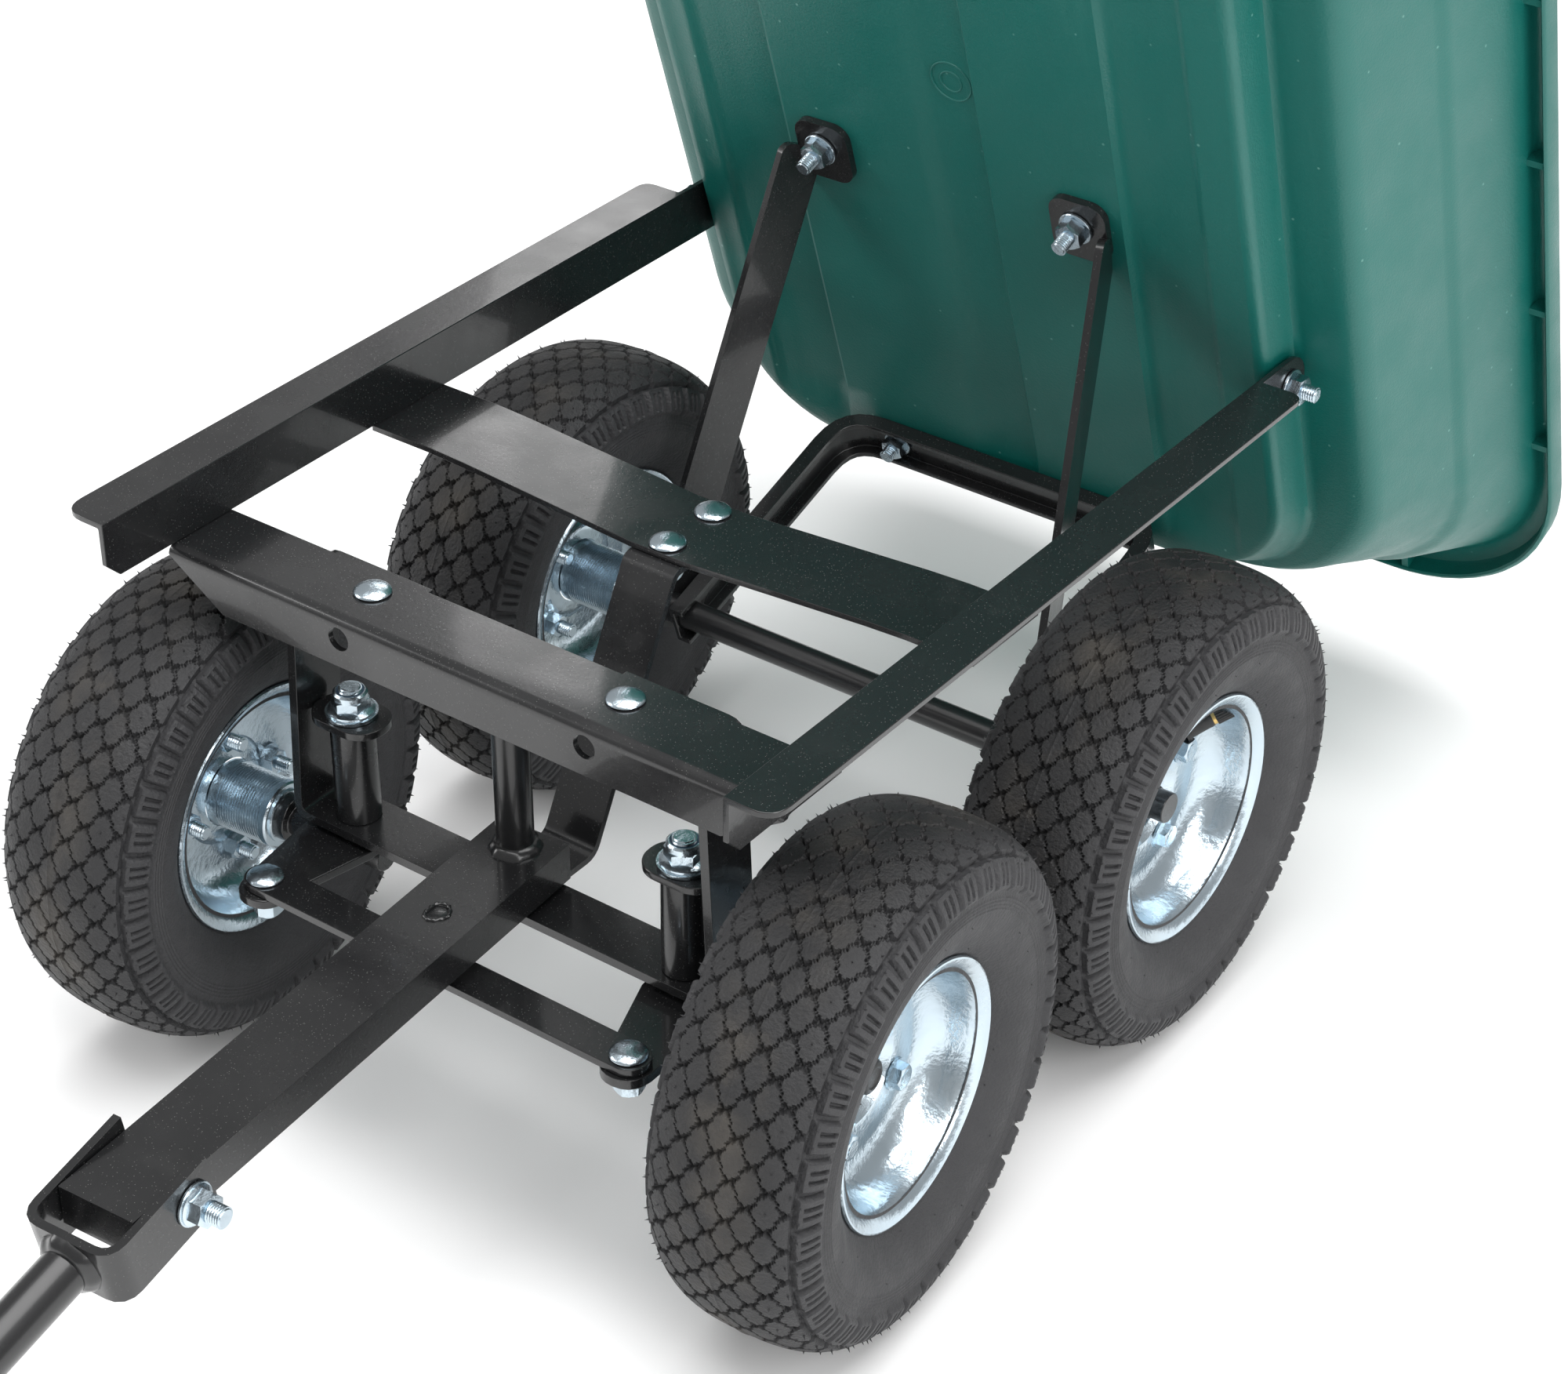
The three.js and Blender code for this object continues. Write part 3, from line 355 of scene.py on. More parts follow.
def place(name, me, matrix, body, materials, nodes=()):
    o = bpy.data.objects.new(name, me)
    bpy.context.scene.collection.objects.link(o)
    if not me.materials:
        for m in materials:
            me.materials.append(m)
    o.matrix_world = matrix
    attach(o, body)
    if nodes:
        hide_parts(*nodes)
    return o


def rounded(node_name, body, width=0.9, segments=3, angle=32, material=None):
    """A CAD piece's own shape with its edges rolled over."""
    me = frame["nodes"][node_name].data.copy()
    me.name = f"{node_name}_rounded"
    bm = bmesh.new()
    bm.from_mesh(me)
    bmesh.ops.remove_doubles(bm, verts=bm.verts, dist=2e-5)
    bmesh.ops.dissolve_limit(bm, angle_limit=math.radians(0.6), verts=bm.verts, edges=bm.edges)
    bm.to_mesh(me)
    bm.free()
    me.materials.clear()
    me.polygons.foreach_set("material_index", [0] * len(me.polygons))
    if me.has_custom_normals:
        me.attributes.remove(me.attributes["custom_normal"])
    me.shade_smooth()
    o = place(f"{node_name}_skin", me, Matrix.Identity(4), body, [material or PAINT], [node_name])
    b = o.modifiers.new("edge", "BEVEL")
    b.width = width * 0.001
    b.segments = segments
    b.limit_method = "ANGLE"
    b.angle_limit = math.radians(angle)
    b.miter_outer = "MITER_ARC"
    w = o.modifiers.new("normals", "WEIGHTED_NORMAL")
    w.keep_sharp = True
    return o


# ---- tyre ------------------------------------------------------------------------------------------
def spline(points, per=24):
    p = np.array(points, float)
    p = np.vstack([2 * p[0] - p[1], p, 2 * p[-1] - p[-2]])
    out = []
    for i in range(1, len(p) - 2):
        t = np.linspace(0, 1, per, endpoint=False)[:, None]
        out.append(0.5 * (2 * p[i] + (p[i + 1] - p[i - 1]) * t
                          + (2 * p[i - 1] - 5 * p[i] + 4 * p[i + 1] - p[i + 2])
                          * t ** 2 + (3 * p[i] - p[i - 1] - 3 * p[i + 1] + p[i + 2]) * t ** 3))
    return np.vstack(out + [p[-2:-1]])


def step(x, lo, hi):
    t = np.clip((x - lo) / (hi - lo), 0, 1)
    return t * t * (3 - 2 * t)


def tyre_mesh():
    half = spline([(0, 122.3), (12, 121.9), (22, 120.2), (30, 116.8), (35.6, 111.8), (38.9, 105.5),
                   (40.4, 98),
                   (40.6, 90), (39.2, 82.5), (35.8, 75), (31.4, 69), (28.2, 65.3), (27.2, 62), (27, 57)])
    arc = np.concatenate([[0], np.cumsum(np.linalg.norm(np.diff(half, axis=0), axis=1))])
    sub = 20
    cell = 17.0
    tread = np.arange(0, 62) * cell / sub
    wall = np.concatenate([np.arange(tread[-1] + 0.45, 62, 0.45), np.arange(63, arc[-1], 2.6), [arc[-1]]])
    v = np.concatenate([-wall[::-1], -tread[:0:-1], tread, wall])
    av = np.abs(v)
    x = np.interp(av, arc, half[:, 0]) * np.sign(v)
    r = np.interp(av, arc, half[:, 1])
    dx, dr = np.gradient(x), np.gradient(r)
    length = np.hypot(dx, dr)
    nx, nr = -dr / length, dx / length
    n = BLOCKS * sub
    u = np.arange(n) / sub
    uu, vv = np.meshgrid(u, v, indexing="ij")
    p, q = uu + vv / cell, uu - vv / cell
    jog = 2.0 / sub

    def groove(a, b):
        shifted = a + jog * np.where((b % 1.0) < 0.5, 0.5, -0.5)
        d = np.abs(shifted - np.round(shifted)) * 12.6
        near = np.abs(b - np.round(b))
        w = np.where(near < 0.28, 0.72, 0.12)
        return 1 - step(d, w, w + 0.55)

    cut = np.maximum(groove(p, q), groove(q, p))
    a = np.abs(vv)
    in_tread = 1 - step(a, 35.0, 36.5)
    rise = 2.5 * (1 - cut) * in_tread
    rise += 0.35 * (np.abs(vv) < 0.6) * (1 - cut)
    f = (uu + 0.5) % 1.0
    lug = step(f, 0.05, 0.13) * (1 - step(f, 0.87, 0.95))
    for s in (0.36, 0.62):
        lug -= 0.62 * (np.abs(f - s) < 0.045) * (a > 40.5) * (a < 48.5)
    in_lug = step(a, 36.8, 38.2) * (1 - step(a, 49.5, 52.8))
    rise += 2.9 * lug * in_lug
    ridge = (a > 54.5) & (a < 61.5)
    rise += 0.42 * ridge * (0.5 + 0.5 * np.cos((a - 54.5) / 1.75 * 2 * np.pi + np.pi))
    ang = 2 * np.pi * uu / BLOCKS
    rad = r[None, :] + rise * nr[None, :]
    pts = np.stack([x[None, :] + rise * nx[None, :], rad * np.cos(ang), rad * np.sin(ang)], -1)
    parts = [(grid(pts, wrap_u=True), 0)]
    # mould hairs on the block corners, nubs on the side walls
    rng = random.Random(3)
    pins = []
    for i in range(BLOCKS):
        for sgn in (1, -1):
            for off, vpos, tall in ((0.5, 34.0, 2.4), (0.22, 38.4, 2.2), (0.0, 25.5, 1.4), (0.78, 38.4, 1.9)):
                if rng.random() < 0.8:
                    pins.append((i + off, sgn * vpos, 2.6, tall, 0.7))
            if i % 2 == 0:
                pins.append((i + rng.uniform(0, 1), sgn * rng.choice((66, 71, 77, 84)), -0.1, 0.9, 0.75))
    for pu, pv, base, tall, wide in pins:
        k = abs(pv)
        across, pr = np.interp(k, arc, half[:, 0]) * np.sign(pv), np.interp(k, arc, half[:, 1])
        j = int(np.argmin(np.abs(v - pv)))
        t = 2 * np.pi * pu / BLOCKS
        radial = np.array([0, math.cos(t), math.sin(t)])
        normal = np.array([nx[j], 0, 0]) + radial * nr[j]
        centre = np.array([across, 0, 0]) + radial * pr + normal * base
        e1 = np.array([0, -math.sin(t), math.cos(t)])
        e2 = np.cross(normal, e1)
        ring = [centre - normal * 0.6 + wide * (e1 * math.cos(b) + e2 * math.sin(b)) for b in (0, 1.57,
            3.14, 4.71)]
        tip = centre + normal * tall
        parts.append(((np.array(ring + [tip]), [(0, 1, 4), (1, 2, 4), (2, 3, 4), (3, 0, 4)]), 0))
    return build("tyre_mesh", parts, 34)


# ---- wheel parts, the outer face toward +X ---------------------------------------------------------
def rim_mesh():
    lip = [(29.6, 65.6), (30.5, 65.0), (30.7, 64.2), (30.1, 62.8), (28.9, 60.6), (26.6, 58.4), (22.5, 56.6),
           (16, 55.2),
           (11, 53.2), (7.2, 50.0), (4.6, 46.2), (3.2, 43.0), (2.6, 40.4)]
    centre = [(2.6, 28.8), (1.9, 26.4), (-0.6, 24.6), (-2.2, 23.4), (-2.8, 21.6), (-2.8, 18.1),
              (-5.4, 18.1), (-5.2, 23.0),
              (-4.6, 26.4), (-2.6, 28.8)]
    behind = [(-28.4, 65.4), (-27.6, 63), (-26, 60.2), (-22, 58.4), (-12, 57.2), (0, 56.6)]
    other = lambda line: [(-x, r) for x, r in line[::-1]]
    rim = lathe(lip + centre + other(lip) + behind + other(behind)[1:], 128)
    parts = [(rim, 0)]
    for k in range(4):
        turn = Matrix.Rotation(math.radians(38 + 90 * k), 4, "X")
        out, back = turn @ at(2.6, 0, BOLT_R, ry=math.pi / 2), turn @ at(-2.6, 0, BOLT_R, ry=-math.pi / 2)
        washer = lathe([(0, 0), (0, 8.0), (1.3, 8.0), (1.3, 0)], 40, "z")
        for part, m in ((washer, out), (hexagon(6.6, 6.0, 1, chamfer=0.6), out), (washer, back),
                        (moved(hexagon(6.6, 7.0, 3, chamfer=0.6), at(0, 0, 1)), back),
                        (thread(3.9, 0, 16), back),
                        (lathe([(5, 0), (5, 4.2), (6.4, 4.0), (6.4, 0)], 32, "z"), out)):
            parts.append((moved(part, m), 0))
    return build("rim_mesh", parts, 32)


def hub_mesh():
    ridges = []
    for i in range(17):
        x = -38 + i * 1.6
        ridges += [(x, 17.4), (x + 0.3, 16.7), (x + 1.0, 16.7), (x + 1.3, 17.4)]
    tube = lathe([(-42, 9), (-42, 16.4), (-41.2, 17.4)] + ridges + [(-8.5, 17.4), (-5.2, 17.4), (-5.2, 9)],
                 72)
    n = 96
    t = np.linspace(0, 2 * np.pi, n, endpoint=False)
    r = 17.6 + 3.9 * np.cos(3 * t) + 0.5 * np.cos(6 * t)
    rings = [(np.full(n, 9.6), -3), (r, -3), (r + 0.4, -2.2), (r - 0.2, -1.2), (np.full(n, 12.4), -1.0),
             (np.full(n, 11.8), 0.8), (np.full(n, 10.4), 1.0), (np.full(n, 9.6), 0.2)]
    pts = np.stack([np.stack([np.full(n, x), a * np.cos(t), a * np.sin(t)], -1) for a, x in rings], 1)
    parts = [(tube, 0), (grid(pts, wrap_u=True, wrap_v=True), 0)]
    for k in range(3):
        dome = lathe([(0, 0), (0, 4.0), (1.2, 3.8), (2.2, 2.7), (2.7, 1.2), (2.8, 0)], 28, "z", closed=False)
        parts.append((moved(dome, Matrix.Rotation(2 * math.pi * k / 3, 4, "X")
                            @ at(-1.3, 17.4, 0, ry=math.pi / 2)), 0))
    bearing = lathe([(-43.4, 8.6), (-43.4, 13.2), (-42.9, 14), (-42, 14), (-42, 8.6)], 48)
    race = lathe([(-45.6, 8.5), (-45.6, 10.6), (-43.2, 10.8), (-43.2, 8.5)], 48)
    return build("hub_mesh", parts + [(bearing, 0), (race, 0)], 32)


def cap_mesh():
    body = lathe([(-2.8, 0), (-2.8, 9.2), (-1.6, 9.4), (4.8, 8.9), (6.8, 8.2), (7.8, 6.9), (8.0, 5.6),
                  (7.4, 4.9),
                  (7.4, 0)], 56, closed=False)
    return build("cap_mesh", [(body, 0)], 40)


def valve_mesh():
    """Stem along +Z from the rim's wall inward, then bent out; local +Z is its own axis."""
    stem = lathe([(0, 0), (0, 6.2), (1.4, 6.0), (2.6, 4.6), (10, 4.1), (15, 3.9), (15.2, 3.4), (15.2, 0)],
                 40, "z",
                 closed=False)
    collar = lathe([(15, 0), (15, 3.6), (16.8, 3.6), (16.8, 0)], 40, "z")
    cap_profile = [(16.9, 0), (16.9, 4.1), (27, 4.0), (27.8, 3.3), (27.8, 0)]
    cap = lathe(cap_profile, 60, "z", closed=False, wobble=lambda t: 0.16 * np.sign(np.cos(20 * t)))
    return build("valve_mesh", [(stem, 0), (collar, 1), (cap, 0)], 30)


TYRE_ME, RIM_ME, HUB_ME, CAP_ME, VALVE_ME = tyre_mesh(), rim_mesh(), hub_mesh(), cap_mesh(), valve_mesh()
for where in ("front_right", "front_left", "rear_right", "rear_left"):
    j = JOINTS[f"wheel_{where}_spin"]
    axis = Vector(j["axis"])
    spot = Matrix.Translation(Vector(j["pos_m"])) @ Vector((1, 0,
                                                            0)).rotation_difference(axis).to_matrix().to_4x4()
    if where.endswith("left"):
        spot = spot @ Matrix.Rotation(math.pi, 4, "Z")
    turn = Matrix.Rotation({"front_right": 0.3, "front_left": 0.9, "rear_right": 1.4,
                            "rear_left": 0.1}[where], 4, "X")
    body = f"wheel_{where}"
    m = spot @ MM
    place(f"tyre_{where}_tread", TYRE_ME, m @ turn, body, [RUBBER], [f"tyre_{where}"])
    place(f"rim_{where}_dish", RIM_ME, m @ turn, body, [ZINC], [f"rim_{where}"])
    place(f"hub_{where}_turned", HUB_ME, m @ turn, body, [ZINC], [f"hub_{where}"])
    place(f"axle_cap_{where}_round", CAP_ME, m, body, [PLASTIC], [f"axle_cap_{where}"])
    lo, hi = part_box(f"valve_{where}")
    out = spot.inverted() @ ((lo + hi) / 2)
    a = math.atan2(out.z, out.y)
    stem = Matrix.Rotation(a - math.pi / 2, 4, "X") @ at(2.4, 0, 39.5, ry=math.radians(40))
    place(f"valve_{where}_stem", VALVE_ME, m @ stem, body, [PLASTIC, BRASS],
          [f"valve_{where}"])


# ---- fasteners -------------------------------------------------------------------------------------
def dome_head(radius=9.0, height=2.8):
    prof = [(0.0, 0)] + [(0.0, radius - 0.5), (0.5, radius)]
    prof += [(height * math.sin(a) + 0.4, radius * math.cos(a)) for a in np.linspace(0.12,
        math.pi / 2 - 0.01, 9)]
    head = lathe(prof + [(height + 0.4, 0)], 48, "z", closed=False)
    marks = []
    for k in range(4):
        bar = cuboid(1.2, 5.0, -0.45, 0.45, height - 1.1, height + 0.35)
        pts, faces = bar
        pts[pts[:, 0] > 3, 2] -= 0.75
        marks.append(moved((pts, faces), Matrix.Rotation(k * math.pi / 2 + 0.5, 4, "Z")))
    return [head] + marks


def truss_mesh(name, shank=20):
    parts = dome_head()
    parts.append(lathe([(0, 0), (0, 4), (-shank + 6, 4), (-shank + 6, 0)], 24, "z"))
    parts.append(moved(hexagon(7.4, 6.5, 3), at(0, 0, -shank + 2.4)))
    parts.append(moved(thread(3.9, 0, 9), at(0, 0, -shank + 8.6, rx=math.pi)))
    return build(name, [(p, 0) for p in parts], 34)


def nut_mesh(name, radius=7.5, nut=6.6, proud=15, shank=8, thread_r=4, washer=9.2, flange=0.0):
    parts = [lathe([(0, thread_r), (0, washer - 0.3), (0.3, washer), (1.2, washer), (1.5, washer - 0.3),
                    (1.5, thread_r)], 48, "z")]
    if flange:
        parts.append(lathe([(1.5, 4), (1.5, flange), (2.2, flange), (3.4, radius * 0.9), (3.4, 4)], 48, "z"))
    parts.append(moved(hexagon(radius, nut, 3.2), at(0, 0, 1.4 + (0.8 if flange else 0))))
    parts.append(thread(thread_r, 0.5, proud))
    parts.append(lathe([(1, 0), (1, thread_r - 0.2), (-shank - 1, thread_r - 0.2), (-shank - 1, 0)], 24, "z"))
    head = lathe([(-shank, 0), (-shank, radius), (-shank - 1.5, radius * 0.93), (-shank - 3.4, radius * 0.5),
                  (-shank - 3.9, 0)], 40, "z", closed=False)
    return build(name, [(p, 0) for p in parts] + [(head, 0)], 34)


TRUSS, TRUSS_TIE = truss_mesh("truss_mesh"), truss_mesh("truss_tie_mesh", 22)


def on_top(node_name, body, me, head=3.2, turn=0.0):
    lo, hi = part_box(node_name)
    c = (lo + hi) / 2
    m = Matrix.Translation((c.x, c.y, hi.z - head * 0.001)) @ Matrix.Rotation(turn, 4, "Z") @ MM
    place(f"{node_name}_detail", me, m, body, [ZINC], [node_name])


for i, n in enumerate(("crossmember_bolt_right", "crossmember_bolt_left", "mid_plate_bolt_rear",
                       "mid_plate_bolt_front")):
    on_top(n, "frame", TRUSS, turn=0.4 + i)
for side in ("right", "left"):
    on_top(f"tie_bolt_{side}", f"knuckle_{side}", TRUSS_TIE, turn=0.2 if side == "right" else 1.1)
    lo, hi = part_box(f"kingpin_bolt_{side}")
    c = (lo + hi) / 2
    low = 206.0
    lock = [(lathe([(low - 0.7, 6), (low - 0.7, 12.6), (low + 1.2, 12.8), (low + 1.2, 6)], 48, "z"), 0),
            (lathe([(low + 1.2, 6), (low + 1.2, 11.6), (low + 2.4, 11.4), (low + 4.2, 8.4), (low + 4.2, 6)],
                   56, "z"), 0),
            (moved(hexagon(9.6, 7.4, 5.6, chamfer=0.55), at(0, 0, low + 1.8)), 0),
            (lathe([(low + 8.6, 5), (low + 8.6, 8.5), (low + 11.6, 8.4), (low + 12.6, 7.4), (low + 12.6, 6.8),
                    (low + 11.4, 6.6), (low + 11.4, 5)], 48, "z"), 0),
            (lathe([(low + 10.4, 4.2), (low + 10.4, 6.9), (low + 12.2, 6.9), (low + 12.2, 4.2)], 48, "z"), 1),
            (thread(5.7, low, low + 14.4), 0),
            (lathe([(low, 0), (low, 5.7), (134.2, 5.7), (134.2, 0)], 32, "z"), 0)]
    m = Matrix.Translation((c.x, c.y, 0)) @ MM
    place(f"kingpin_nut_{side}", build(f"kingpin_nut_{side}", lock, 34), m, f"knuckle_{side}", [ZINC, NYLON],
          [f"kingpin_bolt_{side}"])
    s = 1 if side == "right" else -1
    lo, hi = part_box(f"hinge_bolt_{side}")
    base = Matrix.Translation((s * 0.1781, (lo.y + hi.y) / 2,
                               (lo.z + hi.z) / 2)) @ Matrix.Rotation(s * math.pi / 2, 4, "Y")
    place(f"hinge_bolt_{side}_detail", nut_mesh(f"hinge_nut_{side}", 7.5, 6.5, 15, 12.6), base @ MM, "tub",
          [ZINC],
          [f"hinge_bolt_{side}"])
    down = TUB @ at(s * 76, -82, FLOOR_N - 4.6, rx=math.pi)
    place(f"strap_bolt_{side}_detail", nut_mesh(f"strap_nut_{side}", 7.6, 7.2, 17, 9.2), down, "tub", [ZINC],
          [f"strap_bolt_{side}"])
    down = TUB @ at(s * 68, 127.9, FLOOR_N - 3.9, rx=math.pi)
    place(f"hoop_bolt_{side}_detail", nut_mesh(f"hoop_nut_{side}", 6.8, 6.0, 13, 7.7, washer=8.2), down,
          "tub", [ZINC],
          [f"hoop_bolt_{side}"])
yoke_nut = nut_mesh("yoke_nut", 8.3, 7.2, 17, 50.2, 5, 10.2, 9.4)
place("yoke_bolt_detail", yoke_nut, PULL @ at(25.1, 0, 0, ry=math.pi / 2), "handle", [ZINC],
      ["yoke_bolt"])

# ---- painted steel ---------------------------------------------------------------------------------
for n, b, w in (("rail_right", "frame", 1.3), ("rail_left", "frame", 1.3),
                ("front_crossmember", "frame", 0.9),
                ("mid_plate", "frame", 0.7), ("centre_strap", "frame", 0.8),
                ("front_axle_bracket", "frame", 1.1),
                ("kingpin_post_right", "frame", 0.6), ("kingpin_post_left", "frame", 0.6),
                ("tie_rod", "tie_rod", 0.8), ("knuckle_right", "knuckle_right", 0.8),
                ("knuckle_left", "knuckle_left", 0.8), ("tongue_tube", "tongue", 2.2),
                ("yoke", "handle", 0.9),
                ("hoop", "tub", 0.8), ("strap_right", "tub", 0.8), ("strap_left", "tub", 0.8)):
    rounded(n, b, w, 3 if w > 0.7 else 2)


def rough(seed, amount):
    r = np.random.default_rng(seed)
    c = r.normal(0, amount, (4, 2))
    return lambda t: sum(c[k, 0] * np.cos((k + 3) * 2 * t) + c[k,
        1] * np.sin((k + 3) * 2 * t) for k in range(4))


def bead(radius, size, seed, z=0.0):
    """A weld's fillet round a tube that stands on z = 0."""
    prof = [(z - 0.4, radius - 0.5), (z - 0.4, radius + size), (z + 0.35 * size, radius + 0.85 * size),
            (z + 0.75 * size, radius + 0.5 * size), (z + size, radius + 0.15 * size),
            (z + size, radius - 0.5)]
    return lathe(prof, 72, "z", wobble=rough(seed, 0.16))


TONGUE_TOP = 171.1
pivot = lathe([(138, 0), (138, 8.6), (138.6, 9), (281, 9), (281.6, 8.6), (281.6, 0)], 56, "z", closed=False)
oval = []
for k in range(40):
    t = 2 * math.pi * k / 40
    oval.append((5.2 * math.cos(t) * (1 + 0.12 * math.cos(3 * t)), -60 + 6.6 * math.sin(t), TONGUE_TOP + 0.1))
plug = sweep(oval, 1.0 + 0.25 * np.cos(np.arange(40) * 1.7), 10, closed=True)
place("tongue_pivot_welded", build("tongue_pivot_welded",
                                   [(pivot, 0), (bead(8.8, 4.2, 1, TONGUE_TOP), 0), (plug, 0)], 40),
      TONGUE, "tongue", [PAINT], ["tongue_pivot"])
pin = lathe([(135.2, 0), (135.2, 4.6), (135.6, 5), (170.8, 5), (171, 4.6), (171, 0)], 32, "z", closed=False)
place("tongue_pin_round", build("tongue_pin_round", [(pin, 0)]), TONGUE @ at(0, -60, 0), "tongue", [PAINT],
      ["tongue_pin"])

tube = lathe([(47.6, 0), (47.6, 11), (748, 11), (748, 0)], 56, "z", closed=False)
place("handle_tube_round", build("handle_tube_round", [(tube, 0), (bead(10.8, 4.6, 5, 48.2), 0)], 45),
      PULL @ at(rx=math.pi / 2), "handle", [PAINT], ["handle_tube"])
top = -748.3
corner = [(0, top - 14), (-46, top - 46), (-54, top - 100), (54, top - 100), (46, top - 46)]
loop = []
for i, c in enumerate(corner):
    c, back, ahead = (np.array(v, float) for v in (c, corner[i - 1], corner[(i + 1) % 5]))
    db, da = (back - c) / np.linalg.norm(back - c), (ahead - c) / np.linalg.norm(ahead - c)
    cut_len = 14 / math.tan(math.acos(float(db @ da)) / 2)
    s, e = c + db * cut_len, c + da * cut_len
    loop += [tuple((1 - t) ** 2 * s + 2 * t * (1 - t) * c + t * t * e) for t in np.linspace(0, 1, 10)]
ring = sweep([(x, y, 0.0) for x, y in loop], 10, 32, closed=True)
sleeve = moved(lathe([(748.4, 0), (748.4, 11.6), (749, 12), (769, 12), (770, 11), (770, 0)], 48, "z",
                     closed=False),
               at(rx=math.pi / 2))
place("grip_loop_moulded", build("grip_loop_moulded", [(ring, 0), (sleeve, 0)], 45), PULL, "handle", [PAINT],
      ["grip_loop"])

ax = [(-197, 0), (-197, 7.6), (-196.6, 8), (-147.5, 8), (-147.5, 11.6), (-147, 12), (-142, 12),
      (-141.5, 11.6), (-141.5, 8)]
axle = lathe(ax + [(-x, r) for x, r in ax[::-1]], 48, closed=False)
place("rear_axle_round", build("rear_axle_round", [(axle, 0)]), TUB @ at(0, 127.9, -171.7), "tub", [PAINT],
      ["rear_axle"])


# ---- tub -------------------------------------------------------------------------------------------
def floor_columns(half, radius):
    """x of each column from +half to -half, denser where the floor's ribs turn."""
    ribs = [-150, -147, -143, -128, -104, -101.5, -99, -60, -17, -13, -9, -5, 9, 21, 22.5, 24, 60, 100, 102,
            104, 108,
            116, 124, 136, 143, 145, 147, 155, -155, -136, 40, 80, -80, -40]
    arcs = [half - radius + radius * math.cos(a) for a in np.linspace(0, math.pi / 2, 15)]
    xs = sorted({round(v, 3) for v in ribs + arcs + [-a for a in arcs]}, reverse=True)
    return [x for x in xs if abs(x) <= half + 1e-6]


def ring_point(kind, s, t, half, rear, front, radius):
    """A point on a rounded rectangle: kind is its stretch, s the side, t the share or the angle."""
    if kind == "end":
        return (t * (half - radius), rear if s > 0 else front)
    if kind == "side":
        return (s * half, front + radius + t * (rear - front - 2 * radius))
    sx, sy = s
    y = rear - radius + radius * math.sin(t) if sy > 0 else front + radius - radius * math.sin(t)
    return (sx * (half - radius + radius * math.cos(t)), y)


RIB_X = [-172, -164, -150, -147, -143, -128, -104, -99, -60, -17, -5, 21, 24, 60, 100, 104, 116, 124, 143,
         147, 160, 172]
RIB_H = [-3, -1, 0, -1.6, -2.4, -3.6, -4.2, 0, 0.3, 0.3, -3.6, -3.2, 0, 0.2, 0.2, -3.4, -4.6, -4.2, -2.0, 0,
         0, -2.5]


def floor_patch(half, rear, front, radius, z):
    rows = 70
    xs = floor_columns(half, radius)
    pts = np.zeros((len(xs), rows + 1, 3))
    for i, x in enumerate(xs):
        over = abs(x) - (half - radius)
        drop = radius - math.sqrt(max(radius ** 2 - over ** 2, 0)) if over > 0 else 0.0
        for k in range(rows + 1):
            y = front + drop + (rear - front - 2 * drop) * k / rows
            h = float(np.interp(x, RIB_X, RIB_H))
            fade = float(step(np.array(y), front + 4,
                              front + 40) * (1 - step(np.array(y), rear - 34, rear - 4)))
            edge = float(1 - step(np.array(abs(x)), half - 9, half - 1))
            pts[i, k] = (x, y, z - h * fade * edge)
    keys = []
    arc = lambda x: math.acos(min(1, max(0, (abs(x) - (half - radius)) / radius)))
    end = lambda x, s: (("end", s, x / (half - radius)) if abs(x) <= half - radius
                        else ("arc", (1 if x > 0 else -1, s), arc(x)))
    index = lambda i, k: i * (rows + 1) + k
    loop_idx = []
    for k in range(rows + 1):
        keys.append(("side", 1, k / rows))
        loop_idx.append(index(0, k))
    for i in range(1, len(xs) - 1):
        keys.append(end(xs[i], 1))
        loop_idx.append(index(i, rows))
    for k in range(rows, -1, -1):
        keys.append(("side", -1, k / rows))
        loop_idx.append(index(len(xs) - 1, k))
    for i in range(len(xs) - 2, 0, -1):
        keys.append(end(xs[i], -1))
        loop_idx.append(index(i, 0))
    part = grid(pts)
    return part, keys, loop_idx


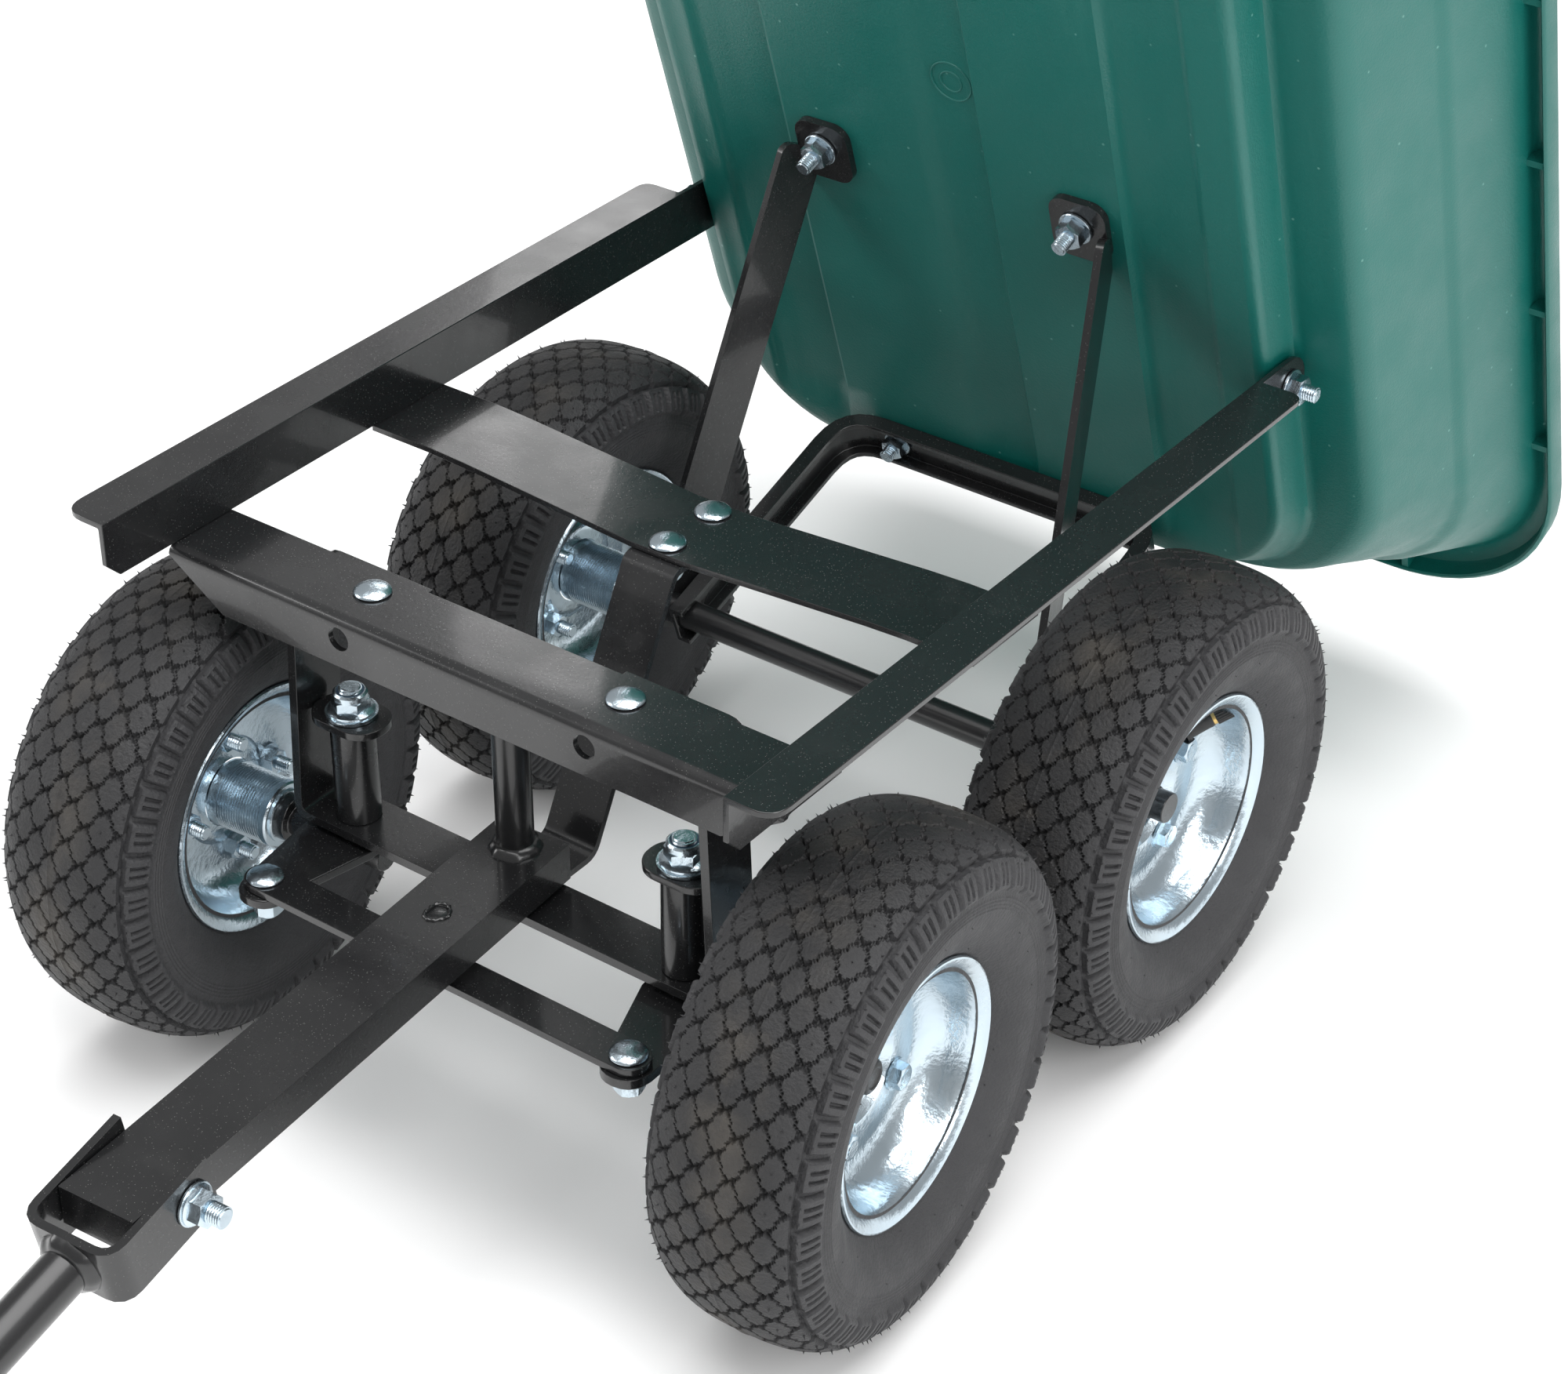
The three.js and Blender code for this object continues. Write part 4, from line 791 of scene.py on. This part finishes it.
def tub_mesh():
    top = FLOOR_N + DEPTH
    level = lambda z: (z - FLOOR_N) / DEPTH
    rear = lambda z: FLOOR_REAR + 5 + (LIP_REAR - 14 - FLOOR_REAR - 5) * level(z)
    front = lambda z: FLOOR_FRONT - 5 + (LIP_FRONT + 14 - FLOOR_FRONT + 5) * level(z)
    wall_at = lambda z: 212 + 18 * (z - LEDGE) / (top - LEDGE)
    out = [(FLOOR_HALF - 2.4, 3.0, 64, FLOOR_N + 0.9), (FLOOR_HALF - 0.8, 1.5, 65, FLOOR_N + 2.6),
           (FLOOR_HALF, 0.6, 66, FLOOR_N + 6), (FLOOR_HALF + 0.2, 0, 66, LEDGE - 5),
           (FLOOR_HALF + 1.2, 0, 66.5, LEDGE - 1.6),
           (FLOOR_HALF + 3.4, 0, 67.5, LEDGE - 0.3), (FLOOR_HALF + 6, 0, 68.5, LEDGE), (196, 0, 80, LEDGE),
           (202, 0, 84, LEDGE + 0.6), (206.6, 0, 86, LEDGE + 2.6), (209.6, 0, 88, LEDGE + 6),
           (211.2, 0, 89, LEDGE + 11),
           (212.6, 0, 90, LEDGE + 20)]
    rings = [(h, rear(z) - i if z > LEDGE - 6 else FLOOR_REAR + 5 - i,
              front(z) + i if z > LEDGE - 6 else FLOOR_FRONT - 5 + i,
              r, z) for h, i, r, z in out]

    def walled(z, extra, radius):
        rings.append((wall_at(z) + extra, rear(z) + extra, front(z) - extra, radius, z))
    for z, e, r in ((60, 0, 91), (80, 0, 92), (83, 0.5, 92), (85.5, 1.9, 93), (88, 2.8, 93), (91, 3.1, 93),
                    (120, 3.1, 94),
                    (top - 22, 3.1, 95), (top - 9, 3.2, 95), (top - 6, 3.9, 96), (top - 4.6, 5.4, 97)):
        walled(z, e, r)
    lip = lambda i, z, r=100: rings.append((LIP_HALF - i, LIP_REAR - i, LIP_FRONT + i, r, z))
    for i, z in ((5.5, top - 4.4), (3.6, top - 5.2), (2.8, top - 7), (2.5, top - 15), (1.6, top - 16),
                 (0.6, top - 15.6),
                 (0, top - 14.6), (0, top - 4), (0.6, top - 2), (1.9, top - 0.6), (3.8, top)):
        lip(i, z)
    inner = []
    for z, e, r in ((top, 4.2, 96), (top - 1, 1.6, 95), (top - 4, 0.2, 94), (top - 10, -0.2, 93),
                    (92, -0.2, 91), (88, -0.4, 91),
                    (84, -2.4, 90), (80, -3.2, 90), (LEDGE + 20, -3.2, 88), (LEDGE + 12, -4.5, 87),
                    (LEDGE + 6, -7.5, 85)):
        inner.append((wall_at(z) + e, rear(z) + e - 0.6, front(z) - e + 0.6, r, z))
    inner += [(202, rear(LEDGE) - 5, front(LEDGE) + 5, 82, LEDGE + 3.4),
              (176, rear(LEDGE) - 5, front(LEDGE) + 5, 66, LEDGE + 3.2),
              (171, rear(0) - 6, front(0) + 6, 64, LEDGE + 1),
              (169, FLOOR_REAR - 1, FLOOR_FRONT + 1, 63, LEDGE - 6),
              (168, FLOOR_REAR - 1.5, FLOOR_FRONT + 1.5, 62, FLOOR_N + 9)]
    base = (FLOOR_HALF - 6, FLOOR_REAR - 1.6, FLOOR_FRONT + 1.6, 62)
    (pts, faces), keys, loop_idx = floor_patch(*base, FLOOR_N)
    (pts2, faces2), _, loop2 = floor_patch(FLOOR_HALF - 9, FLOOR_REAR - 5, FLOOR_FRONT + 5, 60,
                                           FLOOR_N + WALL)
    verts = [tuple(p) for p in pts]
    faces = list(faces)
    loops = [loop_idx]
    for half, r_y, f_y, rad, z in rings + inner:
        start = len(verts)
        for kind, s, t in keys:
            x, y = ring_point(kind, s, t, half, r_y, f_y, rad)
            verts.append((x, y, z))
        loops.append(list(range(start, start + len(keys))))
    start = len(verts)
    same = len(pts2) == len(pts)
    verts += [tuple(p) for p in pts2]
    faces += [tuple(start + i for i in f) for f in faces2]
    last = [start + i for i in loop2]
    if same and len(last) == len(keys):
        loops.append(last)
    for a, b in zip(loops[:-1], loops[1:]):
        n = len(a)
        faces += [(a[i], a[(i + 1) % n], b[(i + 1) % n], b[i]) for i in range(n)]
    parts = [((np.array(verts), faces), 0)]
    for s in (1, -1):
        for y in (-444, -344, -244, -144, -44, 56, 155):
            parts.append((cuboid(*sorted((s * 231, s * 241.5)), y - 2, y + 2, top - 14.5, top - 4.8), 0))
    for x in (-150, -75, 0, 75, 150):
        parts.append((cuboid(x - 2, x + 2, LIP_REAR - 13, LIP_REAR - 1.8, top - 14.5, top - 4.8), 0))
        parts.append((cuboid(x - 2, x + 2, LIP_FRONT + 1.8, LIP_FRONT + 13, top - 14.5, top - 4.8), 0))
    for r, w in ((11.5, 0.55), (6.0, 0.5)):
        circle = [(9 + r * math.cos(t), -146 + r * math.sin(t), FLOOR_N + 3.3) for t in np.linspace(0,
            2 * math.pi, 48, endpoint=False)]
        parts.append((sweep(circle, w, 8, closed=True), 0))
    return build("tub_moulded", parts, 38)


place("tub_moulded", tub_mesh(), TUB, "tub", [GREEN], ["tub"])

# ---- floor, light and camera -----------------------------------------------------------------------
me = bpy.data.meshes.new("studio_floor")
me.from_pydata([(-30, -30, 0), (30, -30, 0), (30, 30, 0), (-30, 30, 0)], [], [(0, 1, 2, 3)])
floor = bpy.data.objects.new("studio_floor", me)
bpy.context.scene.collection.objects.link(floor)
white, _, bsdf = shader("studio_white", 0.9, spec=0.1)
bsdf.inputs["Base Color"].default_value = (0.93, 0.93, 0.93, 1)
me.materials.append(white)
bpy.context.scene.view_settings.view_transform = "Standard"

world = bpy.data.worlds.new("studio") if not bpy.data.worlds else bpy.data.worlds[0]
bpy.context.scene.world = world
world.use_nodes = True
world.node_tree.nodes["Background"].inputs[0].default_value = (1, 1, 1, 1)
world.node_tree.nodes["Background"].inputs[1].default_value = 0.42


def lamp(name, location, target, size, power):
    data = bpy.data.lights.new(name, "AREA")
    data.shape = "RECTANGLE"
    data.size, data.size_y = size
    data.energy = power
    o = bpy.data.objects.new(name, data)
    bpy.context.scene.collection.objects.link(o)
    o.location = location
    o.rotation_mode = "QUATERNION"
    o.rotation_quaternion = (Vector(target) - Vector(location)).to_track_quat("-Z", "Y")


lamp("over", (0.4, 0.2, 3.4), (0, 0.2, 0), (3.4, 3.4), 150)
lamp("key", (3.0, -0.6, 2.2), (0, 0.3, 0.4), (1.6, 2.0), 60)
lamp("left", (-2.8, -1.4, 1.8), (0, 0.3, 0.3), (1.2, 1.8), 40)
lamp("back", (-1.2, 3.4, 2.2), (0, 0.3, 0.3), (2.6, 0.9), 24)

az, el, roll = (math.radians(v) for v in (37.350, 34.255, -0.312))
back = Vector((math.sin(az) * math.cos(el), -math.cos(az) * math.cos(el), math.sin(el)))
right = Vector((math.cos(az), math.sin(az), 0))
up = back.cross(right)
right2 = right * math.cos(roll) + up * math.sin(roll)
up2 = up * math.cos(roll) - right * math.sin(roll)
cam = bpy.data.cameras.new("camera")
cam.sensor_width = 36.0
cam.lens = 76.60
cam.shift_x = 0.0504
cam.shift_y = 0.0190
cam.clip_start = 0.05
cam_obj = bpy.data.objects.new("camera", cam)
bpy.context.scene.collection.objects.link(cam_obj)
cam_obj.matrix_world = Matrix(((right2.x, up2.x, back.x, CAMERA_AT[0]), (right2.y, up2.y, back.y, CAMERA_AT[1]),
                               (right2.z, up2.z, back.z, CAMERA_AT[2]), (0, 0, 0, 1)))
bpy.context.scene.camera = cam_obj
